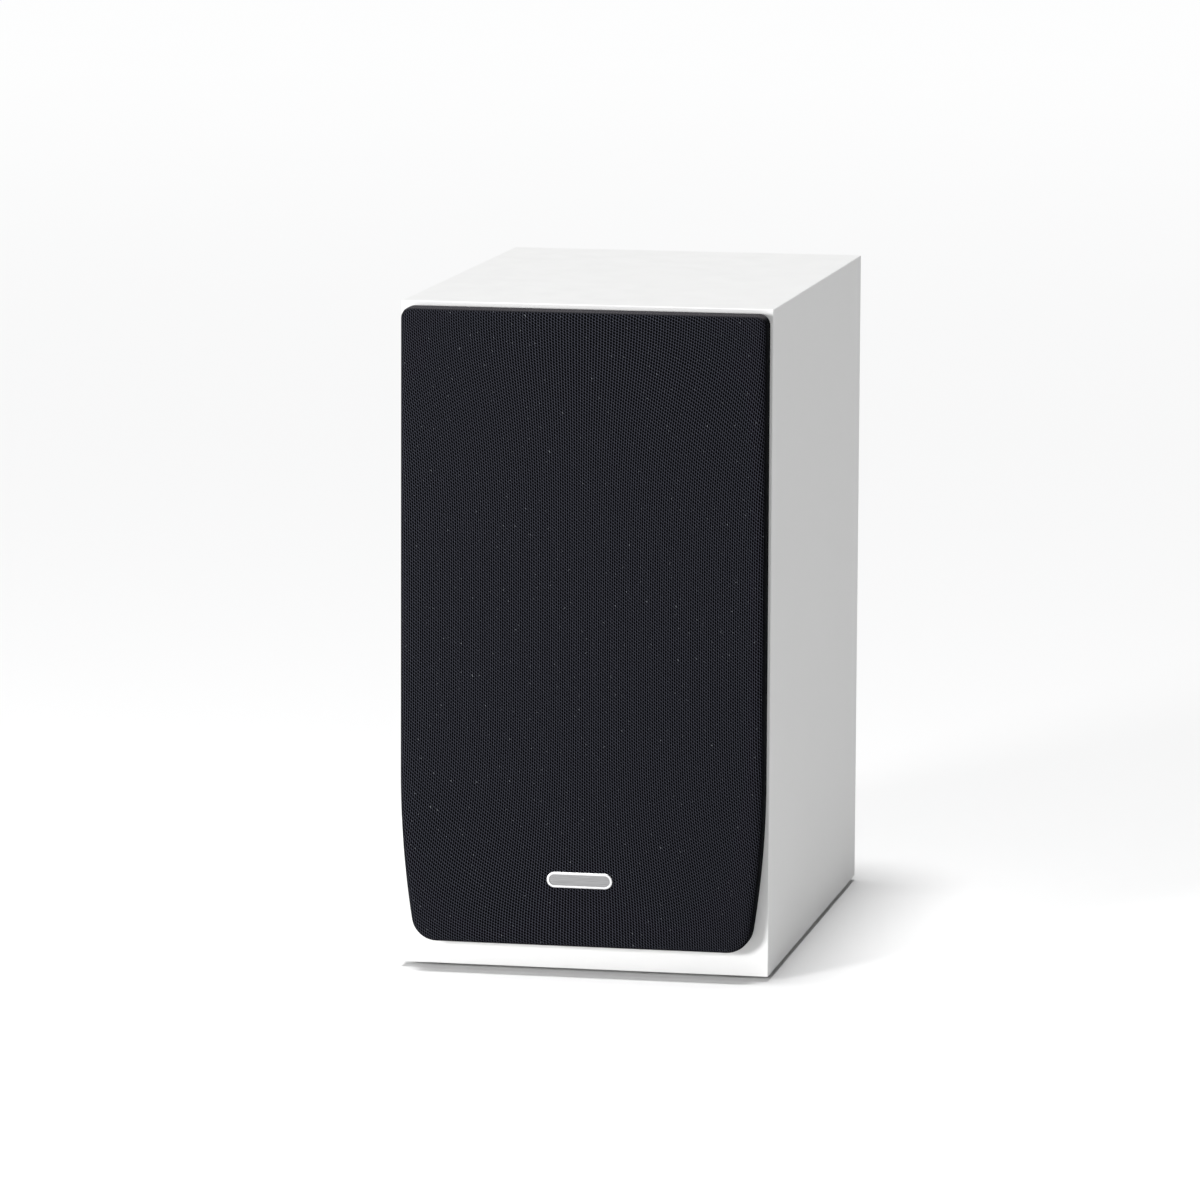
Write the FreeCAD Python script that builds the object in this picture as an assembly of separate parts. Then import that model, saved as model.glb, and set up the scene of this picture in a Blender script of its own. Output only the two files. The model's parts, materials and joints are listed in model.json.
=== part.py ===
import FreeCAD, Part
import math
import os

from FreeCAD import Vector

# A two-way bass-reflex bookshelf speaker. Millimetres, +Z up, the front faces -Y.
# The origin is the centre of the whole object's footprint, on the surface that it stands on.

# ---------------------------------------------------------------- driving dimensions
CABINET_W = 168.0
CABINET_H = 300.0
CABINET_D = 250.0
FOOT_H = 2.0
PANEL_T = 15.0          # folded wrap: top, bottom and sides
BAFFLE_T = 18.0
RABBET = 9.0            # how far the baffle and the rear panel are let into the side panels
REAR_RECESS = 1.5       # the rear panel sits this far inside the rim
EDGE_R = 0.5            # rounding of the cabinet's outer edges

GRILLE_T = 10.0         # from the baffle to the front of the cloth
CLOTH_T = 0.8
GRILLE_GAP = 0.5        # between the baffle and the back of the grille
BADGE_T = 1.2
KNOB_PROUD = 1.5        # how far the binding-post knobs stand out behind the cabinet

# The grille's outline, measured from the cabinet's centre line and its bottom face.
GRILLE_HALF_W = 82.2
GRILLE_TOP = 297.5
GRILLE_BOTTOM = 12.1
GRILLE_SIDE_R = 430.0   # the sides bend inwards on this radius below GRILLE_BEND
GRILLE_BEND = 88.0
GRILLE_TOP_R = 4.5
GRILLE_BOTTOM_R = 11.0
GRILLE_EDGE_R = 3.2

FRAME_BORDER = 12.0     # width of the grille frame's border
SLEEVE_R = 2.85         # inside radius of the rubber sockets that hold the grille's pegs
PEG_R = 2.8
BADGE_HALF_W = 15.0
BADGE_HALF_H = 3.6
BADGE_PIN_X = 9.0

WOOFER_Z = FOOT_H + 97.0
WOOFER_R = 73.5
WOOFER_SCREW_R = 69.0
WOOFER_RECESS = 4.5
WOOFER_HOLE_R = 63.0    # the baffle's cut-out behind the basket's flange
WOOFER_TAB_X = 7.0
WOOFER_EYELET_X = 10.5

TWEETER_Z = FOOT_H + 226.0
TWEETER_R = 52.0
TWEETER_SCREW_R = 46.0
TWEETER_RECESS = 4.0
TWEETER_HOLE_R = 38.0
TWEETER_TAB_X = 5.0

PORT_Z = FOOT_H + 216.0
PORT_R = 19.0           # inside radius of the tube
PORT_LENGTH = 110.0
PORT_WALL = 2.05

CUP_Z = FOOT_H + 82.0
CUP_HALF_W = 34.0       # inside of the recess
CUP_HALF_H = 24.0
CUP_DEPTH = 20.0
POST_PITCH = 19.0       # the usual spacing for a double banana plug
POST_R = 3.0
POST_FIT = 0.05         # running clearance round the posts
BANANA_R = 2.0
WIRE_HOLE_R = 1.25

BOARD_T = 1.6
BOARD_HALF_W = 45.0
BOARD_FRONT = 80.0      # the crossover board's edges, measured behind the baffle
BOARD_BACK = 172.0
LEAD_D = 2.4

# ---------------------------------------------------------------- places worked out from them
OVERALL_D = BADGE_T + GRILLE_T + CABINET_D + KNOB_PROUD
FRONT_Y = -OVERALL_D / 2 + BADGE_T + GRILLE_T          # the baffle's front face
BACK_Y = FRONT_Y + CABINET_D                           # the cabinet's rear rim
REAR_FACE_Y = BACK_Y - REAR_RECESS                     # the rear panel's outer face
HALF_W = CABINET_W / 2
BOTTOM_Z = FOOT_H
TOP_Z = FOOT_H + CABINET_H
INNER_HALF_W = HALF_W - PANEL_T
INNER_BOTTOM_Z = BOTTOM_Z + PANEL_T
INNER_TOP_Z = TOP_Z - PANEL_T
INSET_HALF_W = INNER_HALF_W + RABBET                   # half width of the baffle and the rear panel
CUP_FLOOR_Y = REAR_FACE_Y - CUP_DEPTH
POST_X = {"red": -POST_PITCH / 2, "black": POST_PITCH / 2}
PEGS = [(sx * x, FOOT_H + z) for x, z in ((69.0, 277.0), (66.0, 27.0)) for sx in (-1, 1)]
WOOFER_SCREW_ANGLES = [30.0 + 60.0 * k for k in range(6)]
TWEETER_SCREW_ANGLES = [45.0 + 90.0 * k for k in range(4)]
CUP_SCREWS = [(sx * 42.0, CUP_Z + sz * 32.0) for sx in (-1, 1) for sz in (-1, 1)]
BADGE_Z = FOOT_H + 42.5
BOARD_Z = INNER_BOTTOM_Z + 6.0
PAD_DEPTHS = {"input": 152.0, "woofer": 96.0, "tweeter": 124.0}


# ---------------------------------------------------------------- shape helpers
def depth(d):
    """The y of a point d behind the baffle's front face."""
    return FRONT_Y + d


def box(x0, x1, y0, y1, z0, z1):
    return Part.makeBox(x1 - x0, y1 - y0, z1 - z0, Vector(x0, y0, z0))


def rod(x, z, r, y0, y1):
    """A round bar along Y."""
    return Part.makeCylinder(r, y1 - y0, Vector(x, y0, z), Vector(0, 1, 0))


def ring(x, z, r_in, r_out, y0, y1):
    """A round tube or washer along Y."""
    return rod(x, z, r_out, y0, y1).cut(rod(x, z, r_in, y0 - 1, y1 + 1))


def path(steps, place, closed=False):
    """A wire through steps: a pair ends a straight run, and a pair of pairs is an arc's middle point and end."""
    start = place(*steps[0])
    here = start
    edges = []
    for step in steps[1:]:
        if isinstance(step[0], tuple):
            end = place(*step[1])
            edges.append(Part.Arc(here, place(*step[0]), end).toShape())
        else:
            end = place(*step)
            edges.append(Part.makeLine(here, end))
        here = end
    if closed and here.distanceToPoint(start) > 1e-6:
        edges.append(Part.makeLine(here, start))
    return Part.Wire(edges)


def turned(z, steps):
    """A solid turned about the Y axis at x = 0 and height z. Steps are (radius, depth behind the baffle)."""
    wire = path(steps, lambda r, d: Vector(r, depth(d), z), closed=True)
    return Part.Face(wire).revolve(Vector(0, 0, z), Vector(0, 1, 0), 360)


def turned_skin(z, steps, thick):
    """A thin-walled revolved part whose wall is centred on the line through steps."""
    line = path(steps, lambda r, d: Vector(r, depth(d), z))
    half = line.makeOffset2D(thick / 2, 0, False, True)
    face = half.makeOffset2D(-thick, 0, True, True)
    beside_axis = Part.makePlane(200, 200, Vector(0, FRONT_Y - 100, z), Vector(0, 0, 1))
    return face.common(beside_axis).revolve(Vector(0, 0, z), Vector(0, 1, 0), 360)


def rounded_box(half_w, half_h, r, z, y0, y1):
    """A plate centred on x = 0 and height z, with rounded corners, between two y."""
    block = box(-half_w, half_w, y0, y1, z - half_h, z + half_h)
    corners = [e for e in block.Edges if abs(e.BoundBox.YLength - (y1 - y0)) < 1e-6]
    return block.makeFillet(r, corners)


def on_circle(radius, degrees, z):
    a = math.radians(degrees)
    return radius * math.cos(a), z + radius * math.sin(a)


def compound(solids):
    return Part.makeCompound(solids)


def solids_of(shape):
    """The shape's solids, largest first."""
    return sorted(shape.Solids, key=lambda s: -s.Volume)


def screw(x, z, head_r, head_h, shank_r, length, seat_y, recess_r):
    """A pan-head cross-recess screw along Y, head towards -Y, its head's underside at seat_y."""
    head = rod(x, z, head_r, seat_y - head_h, seat_y)
    crown = [e for e in head.Edges if e.BoundBox.YMax < seat_y - head_h + 1e-3]
    head = head.makeFillet(head_h * 0.45, crown)
    arm = recess_r * 0.28
    slot_top = seat_y - head_h - 1
    slot_end = seat_y - head_h + head_h * 0.6
    cross = box(x - recess_r, x + recess_r, slot_top, slot_end, z - arm, z + arm)
    cross = cross.fuse(box(x - arm, x + arm, slot_top, slot_end, z - recess_r, z + recess_r))
    tip = Part.makeCone(shank_r, 0.4, shank_r * 2, Vector(x, seat_y + length - shank_r * 2, z), Vector(0, 1, 0))
    shank = rod(x, z, shank_r, seat_y, seat_y + length - shank_r * 2)
    return head.cut(cross).fuse([shank, tip]).removeSplitter()


def cable(points, diameter):
    """A round lead through points: straight runs joined by tangent arcs as large as the runs allow."""
    points = [Vector(*p) for p in points]
    edges = []
    here = points[0]
    for i in range(1, len(points) - 1):
        back = points[i - 1] - points[i]
        ahead = points[i + 1] - points[i]
        turn = math.pi - back.getAngle(ahead)
        reach = 0.45 * min(back.Length, ahead.Length)
        radius = reach / math.tan(turn / 2)
        back.normalize()
        ahead.normalize()
        a = points[i] + back * reach
        b = points[i] + ahead * reach
        inward = (back + ahead).normalize()
        middle = points[i] + inward * (math.hypot(radius, reach) - radius)
        edges += [Part.makeLine(here, a), Part.Arc(a, middle, b).toShape()]
        here = b
    edges.append(Part.makeLine(here, points[-1]))
    spine = Part.Wire(edges)
    start = (points[1] - points[0]).normalize()
    section = Part.Wire(Part.makeCircle(diameter / 2, points[0], start))
    tube = spine.makePipeShell([section], True, False)
    expected = math.pi * diameter ** 2 / 4 * spine.Length
    if abs(tube.Volume / expected - 1) > 0.02:
        raise ValueError(f"a lead's volume is {tube.Volume:.1f} and not {expected:.1f}")
    return tube


# ---------------------------------------------------------------- cabinet
def cabinet_parts():
    block = box(-HALF_W, HALF_W, FRONT_Y, BACK_Y, BOTTOM_Z, TOP_Z)
    block = block.makeFillet(EDGE_R, block.Edges)
    hollow = box(-INNER_HALF_W, INNER_HALF_W, FRONT_Y - 1, BACK_Y + 1, INNER_BOTTOM_Z, INNER_TOP_Z)
    baffle_seat = inset_plate(FRONT_Y - 1, FRONT_Y + BAFFLE_T)
    rear_seat = inset_plate(REAR_FACE_Y - PANEL_T, BACK_Y + 1)
    wrap = block.cut(hollow).cut(baffle_seat).cut(rear_seat)

    def mitred(corners):
        """The stretch of the folded wrap inside a wedge whose 45 degree sides are the mitres."""
        wedge = path(corners, lambda x, z: Vector(x, FRONT_Y - 1, z), closed=True)
        return wrap.common(Part.Face(wedge).extrude(Vector(0, CABINET_D + 2, 0)))

    low = (0, BOTTOM_Z + HALF_W)
    high = (0, TOP_Z - HALF_W)
    bottom_left, bottom_right = (-HALF_W, BOTTOM_Z), (HALF_W, BOTTOM_Z)
    top_left, top_right = (-HALF_W, TOP_Z), (HALF_W, TOP_Z)
    return {
        "top_panel": mitred([top_left, top_right, high]),
        "bottom_panel": mitred([bottom_left, bottom_right, low]),
        "left_side_panel": mitred([bottom_left, low, high, top_left]),
        "right_side_panel": mitred([bottom_right, low, high, top_right]),
        "front_baffle": front_baffle(),
        "rear_panel": rear_panel(),
        "rubber_feet": rubber_feet(),
    }


def inset_plate(y0, y1):
    return box(-INSET_HALF_W, INSET_HALF_W, y0, y1, INNER_BOTTOM_Z, INNER_TOP_Z)


def front_baffle():
    """The panel with a recess and a cut-out for each driver, pilot holes and the grille's four peg holes."""
    baffle = inset_plate(FRONT_Y, FRONT_Y + BAFFLE_T)
    behind = depth(BAFFLE_T + 1)
    rim_gap = 0.4
    notch_half_w, notch_low = 12.0, 45.0
    pilot_end, socket_end = 17.0, 12.0
    cuts = [
        rod(0, WOOFER_Z, WOOFER_R + rim_gap, depth(-1), depth(WOOFER_RECESS)),
        rod(0, WOOFER_Z, WOOFER_HOLE_R, FRONT_Y, behind),
        rod(0, TWEETER_Z, TWEETER_R + rim_gap, depth(-1), depth(TWEETER_RECESS)),
        rod(0, TWEETER_Z, TWEETER_HOLE_R, FRONT_Y, behind),
        box(-notch_half_w, notch_half_w, FRONT_Y, behind, TWEETER_Z - notch_low, TWEETER_Z),
    ]
    for angle in WOOFER_SCREW_ANGLES:
        x, z = on_circle(WOOFER_SCREW_R, angle, WOOFER_Z)
        cuts.append(rod(x, z, 1.95, FRONT_Y, depth(pilot_end)))
    for angle in TWEETER_SCREW_ANGLES:
        x, z = on_circle(TWEETER_SCREW_R, angle, TWEETER_Z)
        cuts.append(rod(x, z, 1.65, FRONT_Y, depth(pilot_end)))
    for x, z in PEGS:
        cuts.append(rod(x, z, 4.0, depth(-1), depth(socket_end)))
    return baffle.cut(cuts)


def rear_panel():
    """The panel with holes for the port and the terminal cup, and pilot holes for the cup's screws."""
    panel = inset_plate(REAR_FACE_Y - PANEL_T, REAR_FACE_Y)
    inside = REAR_FACE_Y - PANEL_T - 1
    outside = REAR_FACE_Y + 1
    around_cup = 2.5
    pilot_r, pilot_length = 1.55, 13.0
    cuts = [
        rod(0, PORT_Z, PORT_R + 5.0, inside, outside),
        rounded_box(CUP_HALF_W + around_cup, CUP_HALF_H + around_cup, 8.0, CUP_Z, inside, outside),
    ]
    for x, z in CUP_SCREWS:
        cuts.append(rod(x, z, pilot_r, REAR_FACE_Y - pilot_length, outside))
    return panel.cut(cuts)


def rubber_feet():
    foot_r, inset = 7.0, 16.0
    feet = []
    for x in (-HALF_W + inset, HALF_W - inset):
        for y in (FRONT_Y + inset, BACK_Y - inset):
            foot = Part.makeCylinder(foot_r, FOOT_H, Vector(x, y, 0))
            rim = [e for e in foot.Edges if e.BoundBox.ZMax < 1e-3]
            feet.append(foot.makeFillet(0.7, rim))
    return compound(feet)


# ---------------------------------------------------------------- grille
def grille_outline(inset, top_r, bottom_r, y):
    """The grille's outline moved inwards by inset: straight sides that bend in towards the bottom."""
    half = GRILLE_HALF_W - inset
    top = FOOT_H + GRILLE_TOP - inset
    low = FOOT_H + GRILLE_BOTTOM + inset
    side_r = GRILLE_SIDE_R - inset
    side_x = GRILLE_HALF_W - GRILLE_SIDE_R
    bend = FOOT_H + GRILLE_BEND
    corner_z = low + bottom_r
    corner_x = side_x + math.sqrt((side_r - bottom_r) ** 2 - (bend - corner_z) ** 2)
    lean = math.atan2(corner_z - bend, corner_x - side_x)

    def polar(cx, cz, r, a):
        return cx + r * math.cos(a), cz + r * math.sin(a)

    right = [
        (0, top),
        (half - top_r, top),
        (polar(half - top_r, top - top_r, top_r, math.pi / 4), (half, top - top_r)),
        (half, bend),
        (polar(side_x, bend, side_r, lean / 2), polar(side_x, bend, side_r, lean)),
        (polar(corner_x, corner_z, bottom_r, (lean - math.pi / 2) / 2), (corner_x, low)),
        (0, low),
    ]
    half_wire = path(right, lambda x, z: Vector(x, y, z))
    mirrored = half_wire.mirror(Vector(0, 0, 0), Vector(1, 0, 0))
    return Part.Wire(Part.__sortEdges__(half_wire.Edges + mirrored.Edges))


def grille_prism(inset, top_r, bottom_r, y0, y1):
    return Part.Face(grille_outline(inset, top_r, bottom_r, y0)).extrude(Vector(0, y1 - y0, 0))


def round_front(prism, radius):
    """Rounds the edges at a prism's front face."""
    front_y = prism.BoundBox.YMin
    front = [e for e in prism.Edges if e.BoundBox.YMax < front_y + 1e-3]
    return prism.makeFillet(radius, front)


def grille_parts():
    back_y = FRONT_Y - GRILLE_GAP
    cloth_y = FRONT_Y - GRILLE_T
    frame_y = cloth_y + CLOTH_T + 0.05
    badge = grille_badge(cloth_y, frame_y)
    pin_holes = [rod(x, BADGE_Z, 0.9, cloth_y - 1, frame_y + 3) for x in (-BADGE_PIN_X, BADGE_PIN_X)]
    return {
        "grille_frame": grille_frame(frame_y, back_y).cut(pin_holes),
        "grille_cloth": grille_cloth(cloth_y, back_y).cut(pin_holes),
        "grille_badge": badge,
        "grille_sockets": grille_sockets(),
    }


def grille_cloth(front_y, back_y):
    """The cloth as it lies on the frame: a shallow tray with rounded front edges."""
    top_r = GRILLE_TOP_R - CLOTH_T
    bottom_r = GRILLE_BOTTOM_R - CLOTH_T
    outer = grille_prism(0, GRILLE_TOP_R, GRILLE_BOTTOM_R, front_y, back_y)
    inner = grille_prism(CLOTH_T, top_r, bottom_r, front_y + CLOTH_T, back_y + 1)
    return round_front(outer, GRILLE_EDGE_R).cut(round_front(inner, GRILLE_EDGE_R - CLOTH_T))


def grille_frame(front_y, back_y):
    """A border with a channel in its back, a crossbar, a tab behind the badge and four pegs on gussets."""
    skin = CLOTH_T + 0.05
    wall, lip = 3.2, 2.2
    frame = grille_prism(skin, GRILLE_TOP_R - skin, GRILLE_BOTTOM_R - skin, front_y, back_y)
    frame = round_front(frame, GRILLE_EDGE_R - skin)
    frame = frame.cut(grille_prism(FRAME_BORDER, 6.0, 10.0, front_y - 1, back_y + 1))
    frame = frame.makeChamfer(2.0, window_edges(frame, front_y))
    channel = grille_prism(wall, 2.0, 8.0, front_y + 2.6, back_y + 1)
    channel = channel.cut(grille_prism(FRAME_BORDER - lip, 7.0, 11.0, front_y + 2, back_y + 2))
    frame = frame.cut(channel)

    half_window = GRILLE_HALF_W - FRAME_BORDER + 1
    window_bottom = FOOT_H + GRILLE_BOTTOM + FRAME_BORDER
    bar_z = FOOT_H + 172.2
    bar = box(-half_window, half_window, front_y + 0.6, front_y + 4.2, bar_z - 4, bar_z + 4)
    tab = box(-21, 21, front_y + 0.1, front_y + 1.3, window_bottom - 2, BADGE_Z + 6)
    added = [bar, tab]
    for x, z in PEGS:
        added.append(peg_gusset(x, z, front_y, back_y))
        stem = rod(x, z, PEG_R, back_y - 1, depth(7.5))
        added.append(stem.fuse(Part.makeCone(PEG_R, 1.6, 1.8, Vector(x, depth(7.5), z), Vector(0, 1, 0))))
    return frame.fuse(added).removeSplitter()


def window_edges(frame, front_y):
    """The edges of the frame's window at its front face."""
    reach = GRILLE_HALF_W - FRAME_BORDER + 0.1
    high = FOOT_H + GRILLE_TOP - FRAME_BORDER + 0.1
    low = FOOT_H + GRILLE_BOTTOM + FRAME_BORDER - 0.1
    found = []
    for edge in frame.Edges:
        bounds = edge.BoundBox
        inside = bounds.XMax < reach and bounds.XMin > -reach and bounds.ZMax < high and bounds.ZMin > low
        if inside and bounds.YMax < front_y + 1e-3:
            found.append(edge)
    return found


def peg_gusset(x, z, front_y, back_y):
    """The solid corner of the frame that a peg stands on."""
    half = 7.0
    y0 = front_y + 2.0
    x0, x1 = sorted((x, math.copysign(GRILLE_HALF_W, x)))
    z0, z1 = (z, TOP_Z) if z > TOP_Z / 2 else (0, z)
    boss = rod(x, z, half, y0, back_y)
    wings = [
        box(x0, x1, y0, back_y, z - half, z + half),
        box(x - half, x + half, y0, back_y, z0, z1),
        box(x0, x1, y0, back_y, z0, z1),
    ]
    return boss.fuse(wings).common(grille_prism(2.0, 2.5, 9.0, front_y, back_y))


def grille_sockets():
    """Four rubber sleeves in the baffle, each with a thin flange on its face."""
    sockets = []
    for x, z in PEGS:
        sleeve = ring(x, z, SLEEVE_R, 3.95, FRONT_Y, depth(11))
        flange = ring(x, z, SLEEVE_R, 5.6, depth(-0.4), FRONT_Y)
        sockets.append(sleeve.fuse(flange).removeSplitter())
    return compound(sockets)


def grille_badge(cloth_y, frame_y):
    """A plain pill-shaped plate with a raised rim, held by two pins through the cloth."""
    front_y = cloth_y - BADGE_T
    rim, field_depth = 1.1, 0.35
    plate = rounded_box(BADGE_HALF_W, BADGE_HALF_H, BADGE_HALF_H - 0.01, BADGE_Z, front_y, cloth_y)
    plate = plate.makeFillet(0.4, [e for e in plate.Edges if e.BoundBox.YMax < front_y + 1e-3])
    field_h = BADGE_HALF_H - rim
    field = rounded_box(BADGE_HALF_W - rim, field_h, field_h - 0.01, BADGE_Z, front_y - 1, front_y + field_depth)
    plate = plate.cut(field)
    pins = [rod(x, BADGE_Z, 0.85, cloth_y - 0.1, frame_y + 1.25) for x in (-BADGE_PIN_X, BADGE_PIN_X)]
    return plate.fuse(pins).removeSplitter()


# ---------------------------------------------------------------- woofer
def woofer_parts():
    basket = turned(WOOFER_Z, [
        (WOOFER_R, 2.0), (WOOFER_R, 4.5), (62.5, 4.5), (62.0, 9.0), (41.0, 34.0), (41.0, 36.0), (38.5, 36.0),
        (38.5, 44.0), (16.0, 44.0), (16.0, 42.0), (36.5, 42.0), (36.5, 36.0), (34.5, 36.0), (34.5, 34.0),
        (39.0, 34.0), (60.0, 9.0), (60.5, 4.5), (60.5, 2.0),
    ])
    basket = basket.cut([basket_window(angle) for angle in range(0, 360, 60)])
    hole_spots = [on_circle(WOOFER_SCREW_R, angle, WOOFER_Z) for angle in WOOFER_SCREW_ANGLES]
    basket = basket.cut([rod(x, z, 2.3, depth(1), depth(6)) for x, z in hole_spots])

    trim = turned(WOOFER_Z, [
        (WOOFER_R, 2.0), (65.3, 2.0), (65.3, 1.35), (61.3, 1.35), (61.3, 0.9),
        ((61.55, 0.25), (62.2, 0.0)), (WOOFER_R - 0.6, 0.0), ((WOOFER_R - 0.17, 0.17), (WOOFER_R, 0.6)),
    ])
    trim = trim.cut([rod(x, z, 3.6, depth(-1), depth(3)) for x, z in hole_spots])

    cone = turned_skin(WOOFER_Z, [
        (51.0, 2.4), (48.4, 2.4), ((30.4, 14.9), (13.3, 25.0)), (13.3, 28.0),
    ], 0.7)
    cap = turned_skin(WOOFER_Z, [(0.0, 13.2), ((10.2, 14.6), (20.0, 19.8))], 0.6)
    cap = solids_of(cap.cut(cone))[0]

    return {
        "woofer_basket": basket,
        "woofer_trim_ring": trim,
        "woofer_surround": turned_skin(WOOFER_Z, [
            (48.6, 1.7), (51.2, 1.7), ((55.8, -2.9), (60.4, 1.7)), (65.0, 1.7),
        ], 0.6),
        "woofer_cone": cone,
        "woofer_dust_cap": cap,
        "woofer_spider": turned_skin(WOOFER_Z, spider_line(), 0.45),
        "woofer_coil_former": ring(0, WOOFER_Z, 12.65, 12.85, depth(23.5), depth(51.0)),
        "woofer_voice_coil": ring(0, WOOFER_Z, 12.88, 13.4, depth(41.5), depth(51.0)),
        "woofer_top_plate": turned(WOOFER_Z, [
            (13.9, 44.0), (39.4, 44.0), (40.0, 44.6), (40.0, 49.0), (13.9, 49.0),
        ]),
        "woofer_magnet": turned(WOOFER_Z, [
            (18.0, 49.0), (41.0, 49.0), (42.0, 50.0), (42.0, 63.0), (41.0, 64.0), (18.0, 64.0),
        ]),
        "woofer_pole_yoke": turned(WOOFER_Z, [
            (4.0, 44.0), (11.7, 44.0), (12.2, 44.5), (12.2, 64.0), (40.0, 64.0), (40.0, 67.5), (38.5, 69.0),
            (7.0, 69.0), ((5.2, 68.1), (4.0, 66.0)),
        ]),
        "woofer_terminal_board": woofer_terminal_board(),
        "woofer_terminal_tabs": compound([woofer_tab(x) for x in (-WOOFER_TAB_X, WOOFER_TAB_X)]),
        "woofer_tinsel_leads": compound([tinsel_lead(side) for side in (-1, 1)]),
        "woofer_screws": compound([
            screw(x, z, 3.4, 1.9, 1.9, 14.0, depth(2.0), 2.0) for x, z in hole_spots
        ]),
    }


def basket_window(angle):
    """One of the openings between the basket's spokes."""
    span = 38.0
    a = math.radians(angle - span / 2)
    out = Vector(math.cos(a), 0, math.sin(a))
    centre = Vector(0, 0, WOOFER_Z)
    outline = ((36, 11.5), (70, 11.5), (70, 31), (36, 31))
    corners = [centre + out * r + Vector(0, depth(d), 0) for r, d in outline]
    face = Part.Face(Part.makePolygon(corners + corners[:1]))
    return face.revolve(centre, Vector(0, -1, 0), span)


def spider_line():
    """A corrugated disc: a flat inner collar, five waves and a flat outer rim."""
    middle, wave, half_pitch = 33.7, 0.75, 2.0
    r = 14.0
    line = [(13.15, middle), (r, middle)]
    for k in range(10):
        side = 1 if k % 2 else -1
        line.append(((r + half_pitch / 2, middle + side * wave), (r + half_pitch, middle)))
        r += half_pitch
    return line + [(38.3, middle)]


def woofer_terminal_board():
    """A phenolic strip on the basket's shoulder, with an eyelet for each tinsel lead and a slot for each tab."""
    board = box(-13, 13, depth(36.02), depth(37.6), WOOFER_Z - 54.0, WOOFER_Z - 38.6)
    cuts = [rod(0, WOOFER_Z, 38.6, depth(30), depth(45))]
    for side in (-1, 1):
        eyelet_x = side * WOOFER_EYELET_X
        tab_x = side * WOOFER_TAB_X
        cuts.append(rod(eyelet_x, WOOFER_Z - 49.0, 1.0, depth(35), depth(39)))
        cuts.append(box(tab_x - 2.45, tab_x + 2.45, depth(35), depth(39), WOOFER_Z - 48.45, WOOFER_Z - 47.55))
    return board.cut(cuts)


def woofer_tab(x):
    """A 4.8 mm push-on blade with a lead-in at its end."""
    z = WOOFER_Z - 48.0
    blade = box(x - 2.4, x + 2.4, depth(35.6), depth(47.0), z - 0.4, z + 0.4)
    tip = [e for e in blade.Edges if e.BoundBox.YMin > depth(46.9) and e.BoundBox.ZLength > 0.5]
    return blade.makeChamfer(1.0, tip).cut(Part.makeCylinder(0.7, 4, Vector(x, depth(43), z - 2)))


def tinsel_lead(side):
    """A flexible braid from the terminal board's eyelet, through a slack loop, to the cone's neck."""
    return cable([
        (side * WOOFER_EYELET_X, depth(37.2), WOOFER_Z - 49.0),
        (side * 10.6, depth(29.5), WOOFER_Z - 48.8),
        (side * 9.4, depth(23.5), WOOFER_Z - 40.5),
        (side * 7.6, depth(21.3), WOOFER_Z - 30.5),
        (side * 6.4, depth(19.6), WOOFER_Z - 24.2),
    ], 1.3)


# ---------------------------------------------------------------- tweeter
def tweeter_parts():
    spots = [on_circle(TWEETER_SCREW_R, angle, TWEETER_Z) for angle in TWEETER_SCREW_ANGLES]
    faceplate = turned(TWEETER_Z, [
        (TWEETER_R, 4.0), (TWEETER_R, 0.8), ((TWEETER_R - 0.23, 0.23), (TWEETER_R - 0.8, 0.0)), (33.5, 0.0),
        ((23.6, 1.4), (16.9, 5.2)), (16.9, 6.0), (21.0, 6.0), (21.0, 6.5), (36.0, 6.5), (36.0, 4.0),
    ])
    faceplate = faceplate.cut([rod(x, z, 3.3, depth(-1), depth(2.1)) for x, z in spots])
    faceplate = faceplate.cut([rod(x, z, 1.8, depth(-1), depth(6)) for x, z in spots])

    dome = turned_skin(TWEETER_Z, [
        (0.0, 1.9), ((6.7, 3.05), (12.5, 6.5)), (12.5, 12.0),
    ], 0.25)
    block = box(-9, 9, depth(4.0), depth(7.5), TWEETER_Z - 44, TWEETER_Z - 37)
    tab_spots = (-TWEETER_TAB_X, TWEETER_TAB_X)
    block = block.cut([
        box(x - 1.45, x + 1.45, depth(5.5), depth(8), TWEETER_Z - 40.8, TWEETER_Z - 40.2) for x in tab_spots
    ])
    tabs = [
        box(x - 1.4, x + 1.4, depth(5.6), depth(16.0), TWEETER_Z - 40.75, TWEETER_Z - 40.25) for x in tab_spots
    ]
    return {
        "tweeter_faceplate": faceplate,
        "tweeter_dome": dome,
        "tweeter_surround": turned_skin(TWEETER_Z, [
            (12.75, 6.25), (13.1, 6.25), ((14.75, 4.6), (16.4, 6.25)), (20.4, 6.25),
        ], 0.22),
        "tweeter_voice_coil": ring(0, TWEETER_Z, 12.66, 13.05, depth(7.2), depth(10.2)),
        "tweeter_top_plate": turned(TWEETER_Z, [
            (13.45, 6.5), (34.0, 6.5), (34.0, 10.5), (13.45, 10.5),
        ]),
        "tweeter_magnet": turned(TWEETER_Z, [
            (17.0, 10.5), (35.2, 10.5), (36.0, 11.3), (36.0, 21.7), (35.2, 22.5), (17.0, 22.5),
        ]),
        "tweeter_pole_yoke": turned(TWEETER_Z, [
            (0.0, 7.4), (11.6, 7.4), (12.0, 7.8), (12.0, 22.5), (33.0, 22.5), (33.0, 25.7), (32.2, 26.5),
            (0.0, 26.5),
        ]),
        "tweeter_terminal_block": block,
        "tweeter_terminal_tabs": compound(tabs),
        "tweeter_screws": compound([
            screw(x, z, 3.1, 1.7, 1.6, 13.0, depth(2.1), 1.8) for x, z in spots
        ]),
    }


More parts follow.
